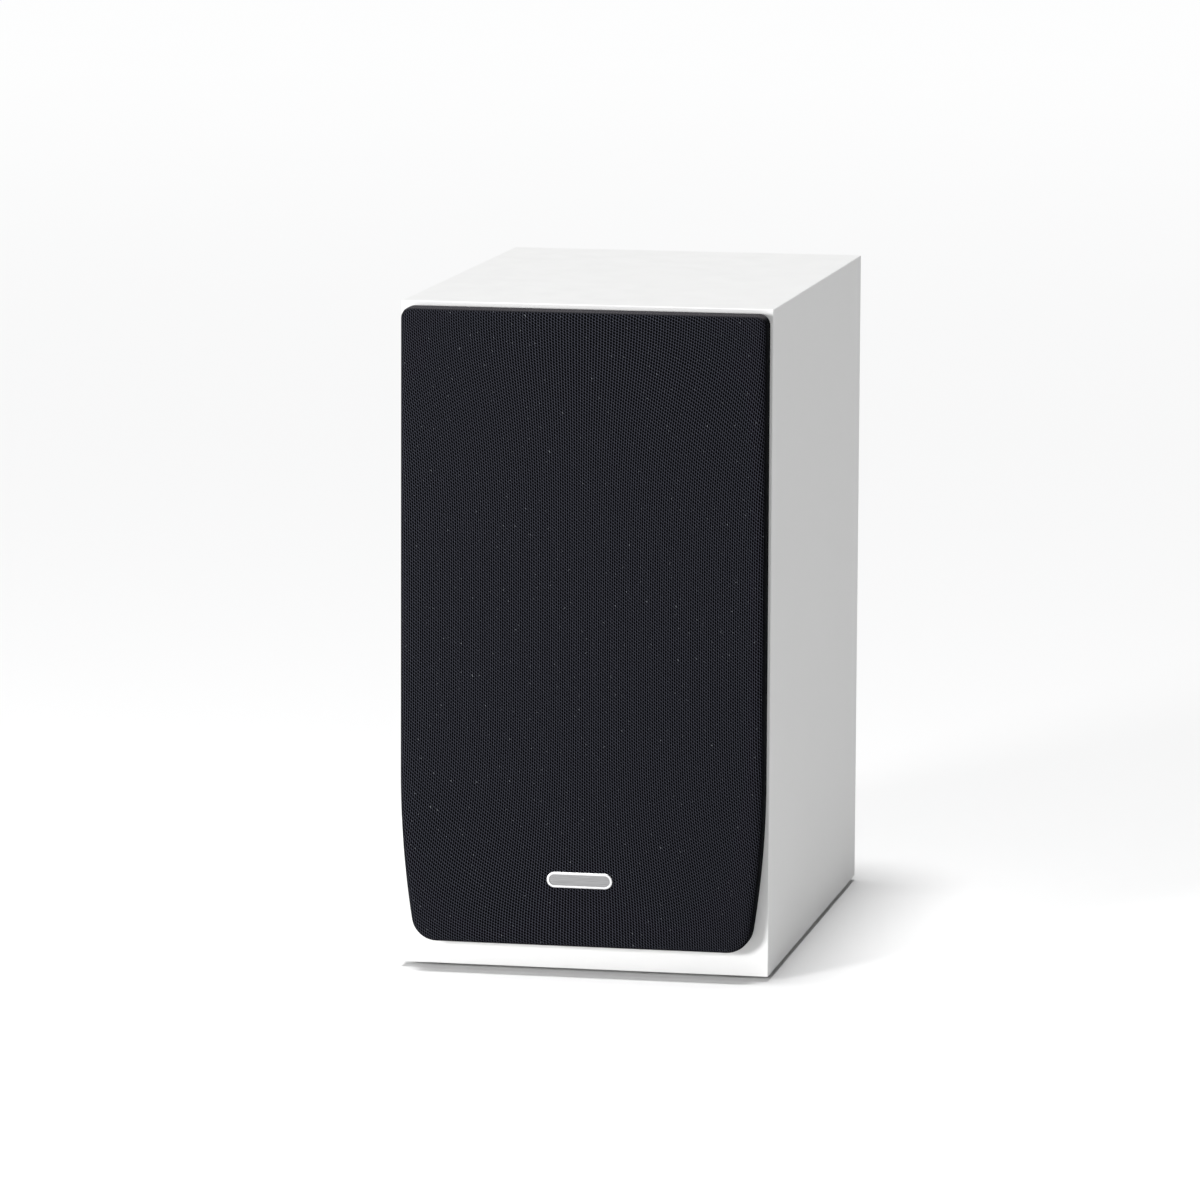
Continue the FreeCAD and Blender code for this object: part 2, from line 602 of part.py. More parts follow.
# ---------------------------------------------------------------- port
def port_parts():
    """A trumpet-shaped mouth with a sleeve, and the tube inside that sleeve."""
    face_y = REAR_FACE_Y
    flange_t, flange_r, flare_r, sleeve_length = 2.5, 35.0, 10.0, 30.0
    front_y = face_y + flange_t
    throat_y = front_y - flare_r
    mouth_r = PORT_R + flare_r
    tube_y = throat_y - 4.0
    sleeve_y = tube_y - sleeve_length
    sleeve_r = PORT_R + 4.8
    seat_r = PORT_R + PORT_WALL + 0.05
    sagitta = flare_r * (1 - math.sqrt(0.5))

    def turn(steps):
        wire = path(steps, lambda r, y: Vector(r, y, PORT_Z), closed=True)
        return Part.Face(wire).revolve(Vector(0, 0, PORT_Z), Vector(0, 1, 0), 360)

    flare = turn([
        (mouth_r, front_y), (flange_r - 1.0, front_y),
        ((flange_r - 0.3, front_y - 0.3), (flange_r, front_y - 1.0)), (flange_r, face_y),
        (sleeve_r, face_y), (sleeve_r, sleeve_y), (seat_r, sleeve_y), (seat_r, tube_y), (PORT_R, tube_y),
        (PORT_R, throat_y), ((PORT_R + sagitta, front_y - sagitta), (mouth_r, front_y)),
    ])
    inner_y = front_y - PORT_LENGTH
    tube = turn([
        (PORT_R, tube_y - 0.02), (PORT_R + PORT_WALL, tube_y - 0.02), (PORT_R + PORT_WALL, inner_y + 1.0),
        ((PORT_R + PORT_WALL / 2, inner_y), (PORT_R, inner_y + 1.0)),
    ])
    return {"port_flare": flare, "port_tube": tube}


# ---------------------------------------------------------------- terminal cup and binding posts
def terminal_parts():
    cup_screws = []
    for x, z in CUP_SCREWS:
        one = screw(x, z, 2.9, 1.6, 1.5, 12.0, 0.0, 1.6)
        one.rotate(Vector(x, 0, z), Vector(0, 0, 1), 180)
        one.translate(Vector(0, REAR_FACE_Y + 1.4, 0))
        cup_screws.append(one)
    parts = {
        "terminal_cup": terminal_cup(),
        "terminal_cup_gasket": terminal_cup_gasket(),
        "terminal_cup_screws": compound(cup_screws),
        "binding_post_studs": compound([post_stud(x) for x in POST_X.values()]),
        "binding_post_nuts": compound([post_nut(x) for x in POST_X.values()]),
        "solder_tabs": compound([solder_tab(x) for x in POST_X.values()]),
    }
    washer_r, insert_r = 5.6, 4.47
    for colour, x in POST_X.items():
        parts[f"{colour}_post_collar"] = post_collar(x)
        parts[f"{colour}_clamp_washer"] = ring(x, CUP_Z, POST_R + 0.35, washer_r, post(3.05), post(4.2))
        parts[f"{colour}_knob"] = knob(x)
        parts[f"{colour}_knob_insert"] = ring(x, CUP_Z, POST_R + POST_FIT, insert_r, post(4.3), post(14.2))
    return parts


def terminal_cup():
    """A flanged tub let into the rear panel, with the two posts' holes in its floor."""
    face_y = REAR_FACE_Y
    flange_t, wall, floor_t = 2.5, 2.0, 3.0
    front_y = face_y + flange_t
    flange = rounded_box(47.0, 37.0, 9.0, CUP_Z, face_y + 0.5, front_y)
    flange = flange.makeFillet(1.0, [e for e in flange.Edges if e.BoundBox.YMin > front_y - 1e-3])
    tub = rounded_box(CUP_HALF_W + wall, CUP_HALF_H + wall, 7.5, CUP_Z, CUP_FLOOR_Y - floor_t, front_y - 0.5)
    recess = rounded_box(CUP_HALF_W, CUP_HALF_H, 5.5, CUP_Z, CUP_FLOOR_Y, face_y + 5)
    cup = flange.fuse(tub).cut(recess).removeSplitter()
    cup = cup.makeFillet(1.2, [e for e in cup.Edges if around_recess(e.BoundBox, front_y)])
    cuts = [rod(x, CUP_Z, POST_R + POST_FIT, CUP_FLOOR_Y - 5, CUP_FLOOR_Y + 1) for x in POST_X.values()]
    for x, z in CUP_SCREWS:
        cuts.append(rod(x, z, 1.8, face_y - 1, face_y + 5))
        cuts.append(rod(x, z, 3.2, face_y + 1.4, face_y + 5))
    return cup.cut(cuts)


def around_recess(bounds, front_y):
    """Whether an edge with these bounds lies on the rim of the cup's recess."""
    reach = CUP_HALF_W + 0.1
    across = bounds.XMax < reach and bounds.XMin > -reach
    return across and bounds.YMin > front_y - 1e-3 and abs(bounds.ZMax - CUP_Z) < CUP_HALF_H + 0.1


def terminal_cup_gasket():
    y = REAR_FACE_Y
    gasket = rounded_box(46.0, 36.0, 8.0, CUP_Z, y, y + 0.5)
    gasket = gasket.cut(rounded_box(CUP_HALF_W + 2.6, CUP_HALF_H + 2.6, 8.1, CUP_Z, y - 1, y + 1))
    return gasket.cut([rod(x, z, 1.8, y - 1, y + 1) for x, z in CUP_SCREWS])


def post(out):
    """The y of a point this far out from the terminal cup's floor."""
    return CUP_FLOOR_Y + out


def post_stud(x):
    """A post with a chamfer at each end, a blind socket for a banana plug and a cross hole for bare wire."""
    stud = rod(x, CUP_Z, POST_R, post(-12.0), post(20.6))
    rim = [e for e in stud.Edges if e.BoundBox.YLength < 1e-3]
    stud = stud.makeChamfer(0.5, rim)
    banana = rod(x, CUP_Z, BANANA_R, post(6.6), post(25))
    wire = Part.makeCylinder(WIRE_HOLE_R, 10, Vector(x, post(4.7), CUP_Z - 5))
    return stud.cut([banana, wire])


def post_collar(x):
    """The coloured insulating ring under the clamp, with a bevelled rim."""
    collar = ring(x, CUP_Z, POST_R + POST_FIT, 7.0, post(0.0), post(3.0))
    rim = [e for e in collar.Edges if e.BoundBox.YMin > post(2.99) and e.BoundBox.XLength > 12]
    return collar.makeChamfer(0.8, rim)


def knob(x):
    """A fluted plastic nut with a pocket for its brass thread insert and a hole for a banana plug."""
    outer_r, flutes, flute_r = 6.75, 18, 0.75
    end = CUP_DEPTH + REAR_RECESS + KNOB_PROUD
    body = rod(x, CUP_Z, outer_r, post(4.25), post(end))
    rims = [e for e in body.Edges if e.BoundBox.YLength < 1e-3]
    body = body.makeFillet(0.8, rims)
    grooves = []
    for k in range(flutes):
        gx, gz = on_circle(outer_r + 0.35, 360.0 * k / flutes, CUP_Z)
        grooves.append(rod(x + gx, gz, flute_r, post(6.2), post(end - 2.2)))
    pocket = rod(x, CUP_Z, 4.5, post(4), post(14.25))
    bore = rod(x, CUP_Z, POST_R + 0.3, post(4), post(30))
    return body.cut(grooves + [pocket, bore])


def post_nut(x):
    """A hexagon nut on the stud behind the cup's floor."""
    flat_to_flat, thick, top = 10.0, 3.0, -3.85
    corners = []
    for k in range(7):
        across, up = on_circle(flat_to_flat / math.sqrt(3), 30 + 60 * k, CUP_Z)
        corners.append(Vector(x + across, post(top), up))
    nut = Part.Face(Part.makePolygon(corners)).extrude(Vector(0, -thick, 0))
    return nut.cut(rod(x, CUP_Z, POST_R + 0.03, post(top - 5), post(top + 1)))


def solder_tab(x):
    """A ring lug between the nut and the cup's floor, with a blade that hangs below it and turns inwards."""
    lug = ring(x, CUP_Z, POST_R + 0.1, 5.6, post(-3.8), post(-3.02))
    blade = box(x - 2.0, x + 2.0, post(-3.8), post(-3.02), CUP_Z - 12.0, CUP_Z - 4.5)
    turned_end = box(x - 2.0, x + 2.0, post(-11.0), post(-3.02), CUP_Z - 12.78, CUP_Z - 12.0)
    bore = rod(x, CUP_Z, POST_R + 0.1, post(-5), post(0))
    return lug.fuse([blade, turned_end]).cut(bore).removeSplitter()


# ---------------------------------------------------------------- crossover, wiring and lining
def crossover_parts():
    top = BOARD_Z + BOARD_T
    from_edge = 5.0
    board = box(-BOARD_HALF_W, BOARD_HALF_W, depth(BOARD_FRONT), depth(BOARD_BACK), BOARD_Z, top)
    spots = []
    for x in (-BOARD_HALF_W + from_edge, BOARD_HALF_W - from_edge):
        for d in (BOARD_FRONT + from_edge, BOARD_BACK - from_edge):
            spots.append((x, depth(d)))
    board = board.cut([Part.makeCylinder(1.6, 6, Vector(x, y, BOARD_Z - 2)) for x, y in spots])
    standoffs = []
    for x, y in spots:
        pillar = Part.makeCylinder(3.2, BOARD_Z - INNER_BOTTOM_Z, Vector(x, y, INNER_BOTTOM_Z))
        neck = Part.makeCylinder(1.55, BOARD_T + 0.02, Vector(x, y, BOARD_Z))
        head = Part.makeCone(2.3, 0.9, 2.2, Vector(x, y, top + 0.02))
        standoffs.append(pillar.fuse([neck, head]).removeSplitter())

    def coil(x, d, inner, outer, height):
        """A winding on a bobbin, standing on the board."""
        centre = Vector(x, depth(d), top)
        flanges = [Part.makeCylinder(outer + 1.5, 1.2, centre + Vector(0, 0, h)) for h in (0, height - 1.2)]
        winding = Part.makeCylinder(outer, height, centre).fuse(flanges)
        return winding.cut(Part.makeCylinder(inner, height + 2, centre - Vector(0, 0, 1))).removeSplitter()

    def can(x, d, r, length):
        """An axial capacitor lying along Y, with a wire at each end that turns down to the board."""
        middle = top + r + 0.3
        body = Part.makeCylinder(r, length, Vector(x, depth(d), middle), Vector(0, 1, 0))
        body = body.makeFillet(1.0, [e for e in body.Edges if e.BoundBox.YLength < 1e-3])
        wires = []
        for end, out in ((d, -4.0), (d + length, 4.0)):
            y0, y1 = sorted((depth(end - out), depth(end + out)))
            wires.append(Part.makeCylinder(0.5, y1 - y0, Vector(x, y0, middle), Vector(0, 1, 0)))
            wires.append(Part.makeCylinder(0.5, middle - top, Vector(x, depth(end + out), top)))
            wires.append(Part.makeSphere(0.7, Vector(x, depth(end + out), middle)))
        return body.fuse(wires).removeSplitter()

    def resistor(x, d):
        block = box(x - 4, x + 4, depth(d), depth(d + 22), top + 1.5, top + 9.5)
        legs = [Part.makeCylinder(0.45, 4, Vector(x, depth(end), top)) for end in (d + 2, d + 20)]
        return block.fuse(legs).removeSplitter()

    return {
        "crossover_board": board,
        "crossover_standoffs": compound(standoffs),
        "crossover_inductors": compound([coil(-20, 106, 6.0, 17.0, 18.0), coil(22, 148, 4.0, 11.0, 15.0)]),
        "crossover_capacitors": compound([can(20, 90, 8.5, 32.0), can(-20, 134, 6.5, 26.0)]),
        "crossover_resistors": compound([resistor(-2, 134), resistor(5, 96)]),
    }


def wiring_parts():
    """Three leads of each colour: from the posts to the board, and from the board to each driver."""
    leads = {"red": [], "black": []}
    side_of = {"red": -1, "black": 1}
    board_top = BOARD_Z + BOARD_T
    start_up = board_top + 0.05
    for colour, side in side_of.items():
        x_pad = side * (BOARD_HALF_W - 4)
        post_x = POST_X[colour]
        leads[colour].append([
            (x_pad, depth(PAD_DEPTHS["input"]), start_up),
            (x_pad, depth(PAD_DEPTHS["input"]), start_up + 14),
            (x_pad - side * 6, depth(PAD_DEPTHS["input"] + 20), start_up + 24),
            (post_x + side * 14, depth(205), CUP_Z - 36),
            (post_x + side * 1, depth(214), CUP_Z - 24),
            (post_x, depth(218.0), CUP_Z - 13.3),
        ])
        leads[colour].append([
            (x_pad, depth(PAD_DEPTHS["woofer"]), start_up),
            (x_pad, depth(PAD_DEPTHS["woofer"]), start_up + 9),
            (x_pad - side * 5, depth(PAD_DEPTHS["woofer"] - 10), start_up + 15),
            (side * 20, depth(62), WOOFER_Z - 52),
            (side * 7, depth(58), WOOFER_Z - 49),
            (side * 7, depth(47.5), WOOFER_Z - 48),
        ])
        leads[colour].append([
            (x_pad, depth(PAD_DEPTHS["tweeter"]), start_up),
            (x_pad, depth(PAD_DEPTHS["tweeter"]), start_up + 16),
            (side * 49, depth(112), start_up + 40),
            (side * 50, depth(90), WOOFER_Z + 20),
            (side * 44, depth(64), WOOFER_Z + 56),
            (side * 20, depth(40), TWEETER_Z - 48),
            (side * 5, depth(30), TWEETER_Z - 41),
            (side * 5, depth(16.5), TWEETER_Z - 40.5),
        ])
    return {
        f"{colour}_wiring": compound([cable(points, LEAD_D) for points in routes])
        for colour, routes in leads.items()
    }


def damping_lining():
    """One bent sheet of polyester batting on the side walls and under the top."""
    thick, gap = 12.0, 0.2
    front = depth(52)
    back = REAR_FACE_Y - PANEL_T - 4
    low = INNER_BOTTOM_Z + 50
    outer = box(-INNER_HALF_W + gap, INNER_HALF_W - gap, front, back, low, INNER_TOP_Z - gap)
    inner = box(-INNER_HALF_W + thick, INNER_HALF_W - thick, front - 1, back + 1, low - 1, INNER_TOP_Z - thick)
    return outer.cut(inner)


# ---------------------------------------------------------------- assembly
def build():
    parts = {}
    for group in (cabinet_parts, grille_parts, woofer_parts, tweeter_parts, port_parts, terminal_parts,
                  crossover_parts, wiring_parts):
        parts.update(group())
    parts["damping_lining"] = damping_lining()
    return parts


def main():
    os.makedirs("parts", exist_ok=True)
    for old in os.listdir("parts"):
        os.remove(os.path.join("parts", old))
    parts = build()
    for name, shape in sorted(parts.items()):
        bad = [s for s in shape.Solids if not s.isValid() or s.Volume <= 0]
        if bad or not shape.Solids:
            print("PROBLEM", name, len(shape.Solids), "solids,", len(bad), "bad")
        shape.exportStep(os.path.join("parts", name + ".step"))
    print(len(parts), "nodes,", sum(len(s.Solids) for s in parts.values()), "solids")


main()
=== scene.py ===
import json
import math

import bmesh
import bpy
from mathutils import Matrix, Vector, noise

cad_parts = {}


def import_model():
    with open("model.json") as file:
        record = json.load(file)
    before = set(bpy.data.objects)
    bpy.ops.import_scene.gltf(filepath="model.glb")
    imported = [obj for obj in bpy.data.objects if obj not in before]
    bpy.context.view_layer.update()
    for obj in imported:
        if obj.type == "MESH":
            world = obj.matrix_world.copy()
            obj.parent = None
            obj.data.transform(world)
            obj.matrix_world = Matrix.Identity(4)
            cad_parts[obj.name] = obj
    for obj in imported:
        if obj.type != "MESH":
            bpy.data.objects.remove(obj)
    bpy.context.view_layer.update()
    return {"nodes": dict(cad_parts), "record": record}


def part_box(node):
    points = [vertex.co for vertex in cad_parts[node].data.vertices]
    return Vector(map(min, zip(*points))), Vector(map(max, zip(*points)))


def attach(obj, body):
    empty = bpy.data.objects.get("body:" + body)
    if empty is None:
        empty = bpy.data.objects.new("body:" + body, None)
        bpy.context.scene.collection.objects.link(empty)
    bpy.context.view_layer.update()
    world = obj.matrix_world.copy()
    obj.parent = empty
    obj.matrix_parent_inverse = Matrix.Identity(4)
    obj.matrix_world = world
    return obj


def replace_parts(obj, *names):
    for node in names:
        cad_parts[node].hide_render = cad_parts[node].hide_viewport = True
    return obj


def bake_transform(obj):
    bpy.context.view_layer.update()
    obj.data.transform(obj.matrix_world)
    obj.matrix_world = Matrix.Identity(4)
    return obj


# The looks of a two-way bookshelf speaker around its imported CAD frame.
# Lengths are metres in the frame's own axes: +Z up, the grille faces -Y.

# ---------------------------------------------------------------- dimensions shared with the CAD
BAFFLE_Y = -0.12015
GRILLE_FRONT_Y = BAFFLE_Y - 0.010
BADGE_FRONT_Y = GRILLE_FRONT_Y - 0.0012
GRILLE_HALF_W = 0.0822
GRILLE_TOP_Z = 0.2995
GRILLE_BOTTOM_Z = 0.0141
GRILLE_BEND_Z = 0.090       # below this height the sides curve inwards
GRILLE_SIDE_R = 0.430       # the radius that they curve with
GRILLE_TOP_R = 0.0045
GRILLE_BOTTOM_R = 0.011
GRILLE_EDGE_R = 0.0032      # the rounding from the front to the sides
WOOFER_Z = 0.099
TWEETER_Z = 0.228

# ---------------------------------------------------------------- camera, fitted to the photograph
VIEW_YAW = math.radians(10.93)
VIEW_PITCH = math.radians(8.46)
VIEW_ROLL = math.radians(0.28)
VIEW_TARGET = Vector((0, BAFFLE_Y, 0.152))
VIEW_DISTANCE = 3.125
VIEW_RIGHT = 0.00651        # how far the camera stands right of the line to its target
VIEW_UP = 0.01758           # how far it stands above that line
LENS_MM = 210.06
SENSOR_MM = 36.0
CLIP_END = 200.0

# ---------------------------------------------------------------- studio
FLOOR_HALF = 60.0
FLOOR_Z = -0.0002
FLOOR_FADE = (0.8, 6.0)     # distances between which the floor brightens into the backdrop
BACKDROP_LIGHT = 0.08
SUN_STRENGTH = 3.0
SUN_ANGLE = 18              # how wide it looks, in degrees: the softness of its shadows
SUN_FROM = (-0.04, -0.05, 1)
SOFTBOX_POWER = 13.8
SOFTBOX_SIZE = 0.32
SOFTBOX_DISTANCE = 1.3      # from the camera's target
SOFTBOX_FROM = (-0.53, -0.835, 0.137)

# ---------------------------------------------------------------- grille cloth
CLOTH_T = 0.00045
CLOTH_RINGS = 20            # rings of faces on the flat front
WALL_DEPTHS = (0.0055, 0.0078)  # where the cloth's sides have points between their ends
BACK_GAP = 0.00005          # between the hem and the baffle
HEM = 0.0025                # the strip folded in behind the frame
FOLD_R = 0.0004
WALE = 0.001013             # distance between two columns of holes in the knit
COURSE = 0.001467           # distance between two holes in a column
COLUMN_SHIFT = 0.55         # how far every other column is moved along, in stitches
HOLE_R = 0.25               # a hole is dark up to this radius, in stitches
HOLE_RIM = 0.50             # and all yarn from this one
WANDER = 0.24               # stitches stray by half of this to each side, in stitches
# The power that sharpens the painted light on the loops into highlights on their crowns.
YARN_CONTRAST = 1.7
FAN_REACH = 0.053           # how far the pull of the top and bottom edges distorts the knit
FAN_SHARE = 0.24            # how far those edges spread the columns apart
COURSE_SQUEEZE = 0.17       # how much shorter the stitches are there
CORNER_PULL = 3.5           # how strongly the rows bend out to the corners, per metre
SLANT = 0.047               # how far the rows fall to the right, per metre

# ---------------------------------------------------------------- turned pieces, in mm
# A line holds (radius, depth behind the baffle). A pair of pairs is an arc's middle and end.
TURNED_SEGMENTS = 144
WOOFER_ROLL = [(48.6, 1.7), (51.2, 1.7), ((55.8, -2.9), (60.4, 1.7)), (65.0, 1.7)]
WOOFER_ROLL_T = 0.6
TWEETER_ROLL = [(12.5, 6.25), (13.1, 6.25), ((14.75, 4.6), (16.4, 6.25)), (20.4, 6.25)]
TWEETER_ROLL_T = 0.22
SPIDER_T = 0.45
SPIDER_DEPTH = 33.7
SPIDER_INNER_R = 12.9
SPIDER_WAVES_FROM = 14.0
SPIDER_OUTER_R = 38.3
SPIDER_WAVES = 10           # half waves, to the front and the rear in turn
SPIDER_WAVE_H = 0.75
SPIDER_WAVE_W = 2.0
# The tinsel lead at +X: (across, depth behind the baffle, up from the woofer's axis).
TINSEL_ROUTE = [(10.5, 37.2, -49.0), (10.6, 29.5, -48.8), (9.4, 23.5, -40.5),
                (7.6, 21.3, -30.5), (6.32, 19.49, -23.79)]
TINSEL_R = 0.65
# In metres: the leads' share goes from 0 below the first height to 1 above the second.
TINSEL_STILL_Z = WOOFER_Z - 0.047
TINSEL_MOVING_Z = WOOFER_Z - 0.026

# ---------------------------------------------------------------- damping mat
MAT_T = 0.0118
MAT_BEND_R = 0.016
MAT_ROWS = 26               # rows of faces from front to rear
MAT_WALL_STEPS = 22
MAT_TOP_STEPS = 9
MAT_LUMP_H = 0.0022
MAT_LUMP_SCALE = 48


# ---------------------------------------------------------------- node graphs
class Graph:
    """The node graph of one material, around its Principled shader."""

    def __init__(self, name, color, roughness, **sockets):
        self.material = bpy.data.materials.new(name)
        self.material.use_nodes = True
        self.tree = self.material.node_tree
        self.shader = self.tree.nodes["Principled BSDF"]
        self.color = tuple(color)
        self.feed(self.shader, "Base Color", self.color + (1,))
        self.feed(self.shader, "Roughness", roughness)
        for key, value in sockets.items():
            self.feed(self.shader, key.replace("_", " "), value)
        self.normal = None
        self.place = self.add("TexCoord").outputs["Object"]

    def feed(self, node, key, value):
        socket = node.inputs[key]
        if isinstance(value, bpy.types.NodeSocket):
            self.tree.links.new(value, socket)
        else:
            socket.default_value = value

    def add(self, kind, inputs=(), **settings):
        node = self.tree.nodes.new("ShaderNode" + kind)
        for key, value in settings.items():
            setattr(node, key, value)
        for key, value in dict(inputs).items():
            self.feed(node, key, value)
        return node

    def math(self, operation, a, b=0.0, c=0.0):
        return self.add("Math", {0: a, 1: b, 2: c}, operation=operation).outputs[0]

    def vector(self, operation, a, b=(0, 0, 0), c=(0, 0, 0)):
        """The vector result of an operation, or the number for LENGTH."""
        node = self.add("VectorMath", {0: a, 1: b, 2: c}, operation=operation)
        return node.outputs["Value" if operation == "LENGTH" else "Vector"]

    def axis(self, vector, index):
        return self.add("SeparateXYZ", {0: vector}).outputs[index]

    def noise(self, scale, detail, vector=None, stretch=None):
        """Fractal noise from 0 to 1, with scale in lumps per metre."""
        place = vector or self.place
        if stretch:
            place = self.vector("MULTIPLY", place, stretch)
        inputs = {"Vector": place, "Scale": scale, "Detail": detail}
        return self.add("TexNoise", inputs).outputs[0]

    def cells(self, scale, output):
        """Cells from a Voronoi texture: their distance or their colour."""
        return self.add("TexVoronoi", {"Vector": self.place, "Scale": scale}).outputs[output]

    def lines(self, distance, pitch):
        """A smooth wave from 0 to 1 that repeats every pitch metres of distance."""
        turns = self.math("MULTIPLY", distance, 2 * math.pi / pitch)
        return self.math("MULTIPLY_ADD", self.math("SINE", turns), 0.5, 0.5)

    def span(self, value, low, high, to_low=0.0, to_high=1.0):
        """Value taken from low..high to to_low..to_high with a smooth step."""
        inputs = {"Value": value, "From Min": low, "From Max": high,
                  "To Min": to_low, "To Max": to_high}
        return self.add("MapRange", inputs, interpolation_type="SMOOTHSTEP").outputs[0]

    def blend(self, factor, a, b):
        """A colour between a and b."""
        return self.add("Mix", {0: factor, 6: a, 7: b}, data_type="RGBA").outputs[2]

    def tint(self, share):
        """The material's colour made darker or lighter."""
        return tuple(min(1.0, c * share) for c in self.color) + (1,)

    def shade(self, factor, dark, light):
        """Colours the surface between two shares of the material's colour."""
        self.paint(self.blend(factor, self.tint(dark), self.tint(light)))

    def paint(self, color):
        self.feed(self.shader, "Base Color", color)

    def rough(self, factor, low, high):
        self.feed(self.shader, "Roughness", self.span(factor, 0.25, 0.75, low, high))

    def emboss(self, height, distance):
        """Raises the surface by height times distance, over what is embossed already."""
        inputs = {"Height": height, "Distance": distance}
        if self.normal:
            inputs["Normal"] = self.normal
        self.normal = self.add("Bump", inputs).outputs[0]
        self.feed(self.shader, "Normal", self.normal)

    def radius(self, z):
        """The distance from the line along Y at x = 0 and height z."""
        across = self.vector("SUBTRACT", self.place, (0, 0, z))
        return self.vector("LENGTH", self.vector("MULTIPLY", across, (1, 0, 1)))


# ---------------------------------------------------------------- finishes
def lacquer(name, color):
    """White satin lacquer: a faint orange peel and slow changes of tone."""
    g = Graph(name, color, 0.6, Specular_IOR_Level=0.2)
    g.shade(g.noise(18, 3), 0.985, 1.0)
    g.rough(g.noise(70, 4), 0.55, 0.65)
    g.emboss(g.noise(700, 2), 0.000010)
    g.emboss(g.noise(45, 2), 0.000020)
    return g.material


def moulded(name, color, gloss=0.5, grain=1800):
    """Spark-eroded plastic."""
    g = Graph(name, color, gloss)
    sparks = g.noise(grain, 1)
    tone = g.math("MULTIPLY_ADD", g.noise(30, 3), 0.3, g.math("MULTIPLY", sparks, 0.7))
    g.shade(tone, 0.8, 1.2)
    g.rough(g.noise(grain / 2, 3), gloss - 0.03, gloss + 0.04)
    g.emboss(sparks, 0.000018)
    return g.material


def glossy_plastic(name, color):
    """Polished plastic with flow marks under a clear skin."""
    g = Graph(name, color, 0.22, Coat_Weight=0.3, Coat_Roughness=0.08)
    g.shade(g.noise(120, 3, stretch=(1, 0.2, 1)), 0.85, 1.1)
    g.rough(g.noise(400, 3), 0.18, 0.3)
    g.emboss(g.noise(300, 2), 0.000006)
    return g.material


def rubber(name, color, gloss=0.66):
    """Matt rubber with a fine, faint bloom."""
    g = Graph(name, color, gloss, Specular_IOR_Level=0.3)
    g.shade(g.span(g.noise(800, 5), 0.35, 0.75), 0.85, 1.2)
    g.rough(g.noise(900, 3), gloss - 0.05, gloss + 0.05)
    g.emboss(g.noise(1500, 2), 0.000015)
    return g.material


def metal(name, color, gloss=0.3):
    """Turned metal with tool lines across Y."""
    g = Graph(name, color, gloss, Metallic=1.0)
    tool = g.noise(4200, 2, stretch=(0.04, 1, 0.04))
    g.shade(tool, 0.88, 1.06)
    g.rough(g.noise(500, 3), gloss - 0.06, gloss + 0.1)
    g.emboss(tool, 0.000006)
    return g.material


def plated(name, color):
    """Zinc-plated steel with a fine spangle and faint handling marks."""
    g = Graph(name, color, 0.32, Metallic=1.0)
    g.shade(g.axis(g.cells(420.0, "Color"), 0), 0.86, 1.08)
    g.rough(g.noise(130, 4), 0.26, 0.44)
    g.emboss(g.noise(900, 3), 0.000008)
    return g.material


def sintered(name, color):
    """Pressed ferrite with bright grains and small pits."""
    g = Graph(name, color, 0.62)
    grain = g.noise(2600, 2)
    g.shade(g.span(grain, 0.4, 0.72), 0.7, 1.7)
    g.rough(g.noise(350, 3), 0.5, 0.74)
    g.emboss(g.span(g.cells(900.0, "Distance"), 0.0, 0.3), 0.00003)
    g.emboss(grain, 0.00002)
    return g.material


def powder_coat(name, color):
    """Cast metal under a powder coat."""
    g = Graph(name, color, 0.5)
    g.shade(g.noise(90, 3), 0.8, 1.2)
    g.rough(g.noise(500, 2), 0.42, 0.6)
    g.emboss(g.noise(1100, 3), 0.00004)
    return g.material


def badge_metal(name, color):
    """Chrome, polished on the rim and brushed along X in the sunk field."""
    g = Graph(name, color, 0.1, Metallic=1.0)
    depth = g.axis(g.place, 1)
    below_rim = g.span(depth, BADGE_FRONT_Y + 0.00015, BADGE_FRONT_Y + 0.0003)
    above_side = g.span(depth, BADGE_FRONT_Y + 0.0005, BADGE_FRONT_Y + 0.0004)
    hair = g.noise(5200, 2, stretch=(0.02, 1, 1))
    field = g.blend(hair, g.tint(0.22), g.tint(0.5))
    rim = g.blend(hair, g.tint(0.82), g.tint(0.94))
    inner = g.math("MULTIPLY", below_rim, above_side)
    g.paint(g.blend(inner, rim, field))
    g.feed(g.shader, "Roughness", g.span(inner, 0.0, 1.0, 0.44, 0.38))
    g.emboss(g.math("MULTIPLY", hair, inner), 0.000004)
    return g.material


def cone_skin(name, color, pitch):
    """A pressed diaphragm: shallow rings round its axis and short fibres in the sheet."""
    g = Graph(name, color, 0.46, Sheen_Weight=0.08)
    rings = g.lines(g.radius(WOOFER_Z), pitch)
    fibres = g.noise(1600, 4, stretch=(1, 0.3, 0.45))
    g.shade(fibres, 0.75, 1.3)
    g.rough(fibres, 0.38, 0.56)
    g.emboss(rings, 0.00006)
    g.emboss(fibres, 0.00002)
    return g.material


def cross_weave(name, color, pitch, gloss, height, sheen):
    """A plain weave across X and Z, seen through its coating."""
    g = Graph(name, color, gloss, Sheen_Weight=sheen, Sheen_Roughness=0.4)
    warp = g.lines(g.axis(g.place, 0), pitch)
    weft = g.lines(g.axis(g.place, 2), pitch)
    threads = g.math("MULTIPLY", warp, weft)
    g.shade(threads, 0.7, 1.25)
    g.rough(g.noise(700, 3), gloss - 0.08, gloss + 0.08)
    g.emboss(threads, height)
    return g.material


def wound(name, color, pitch, axis):
    """Enamelled wire wound side by side along an axis."""
    g = Graph(name, color, 0.24, Metallic=1.0, Coat_Weight=0.6, Coat_Roughness=0.12)
    turns = g.lines(g.axis(g.place, axis), pitch)
    uneven = g.noise(260, 3)
    g.shade(g.math("MULTIPLY", turns, uneven), 0.45, 1.35)
    g.rough(uneven, 0.2, 0.34)
    g.emboss(turns, pitch * 0.3)
    return g.material


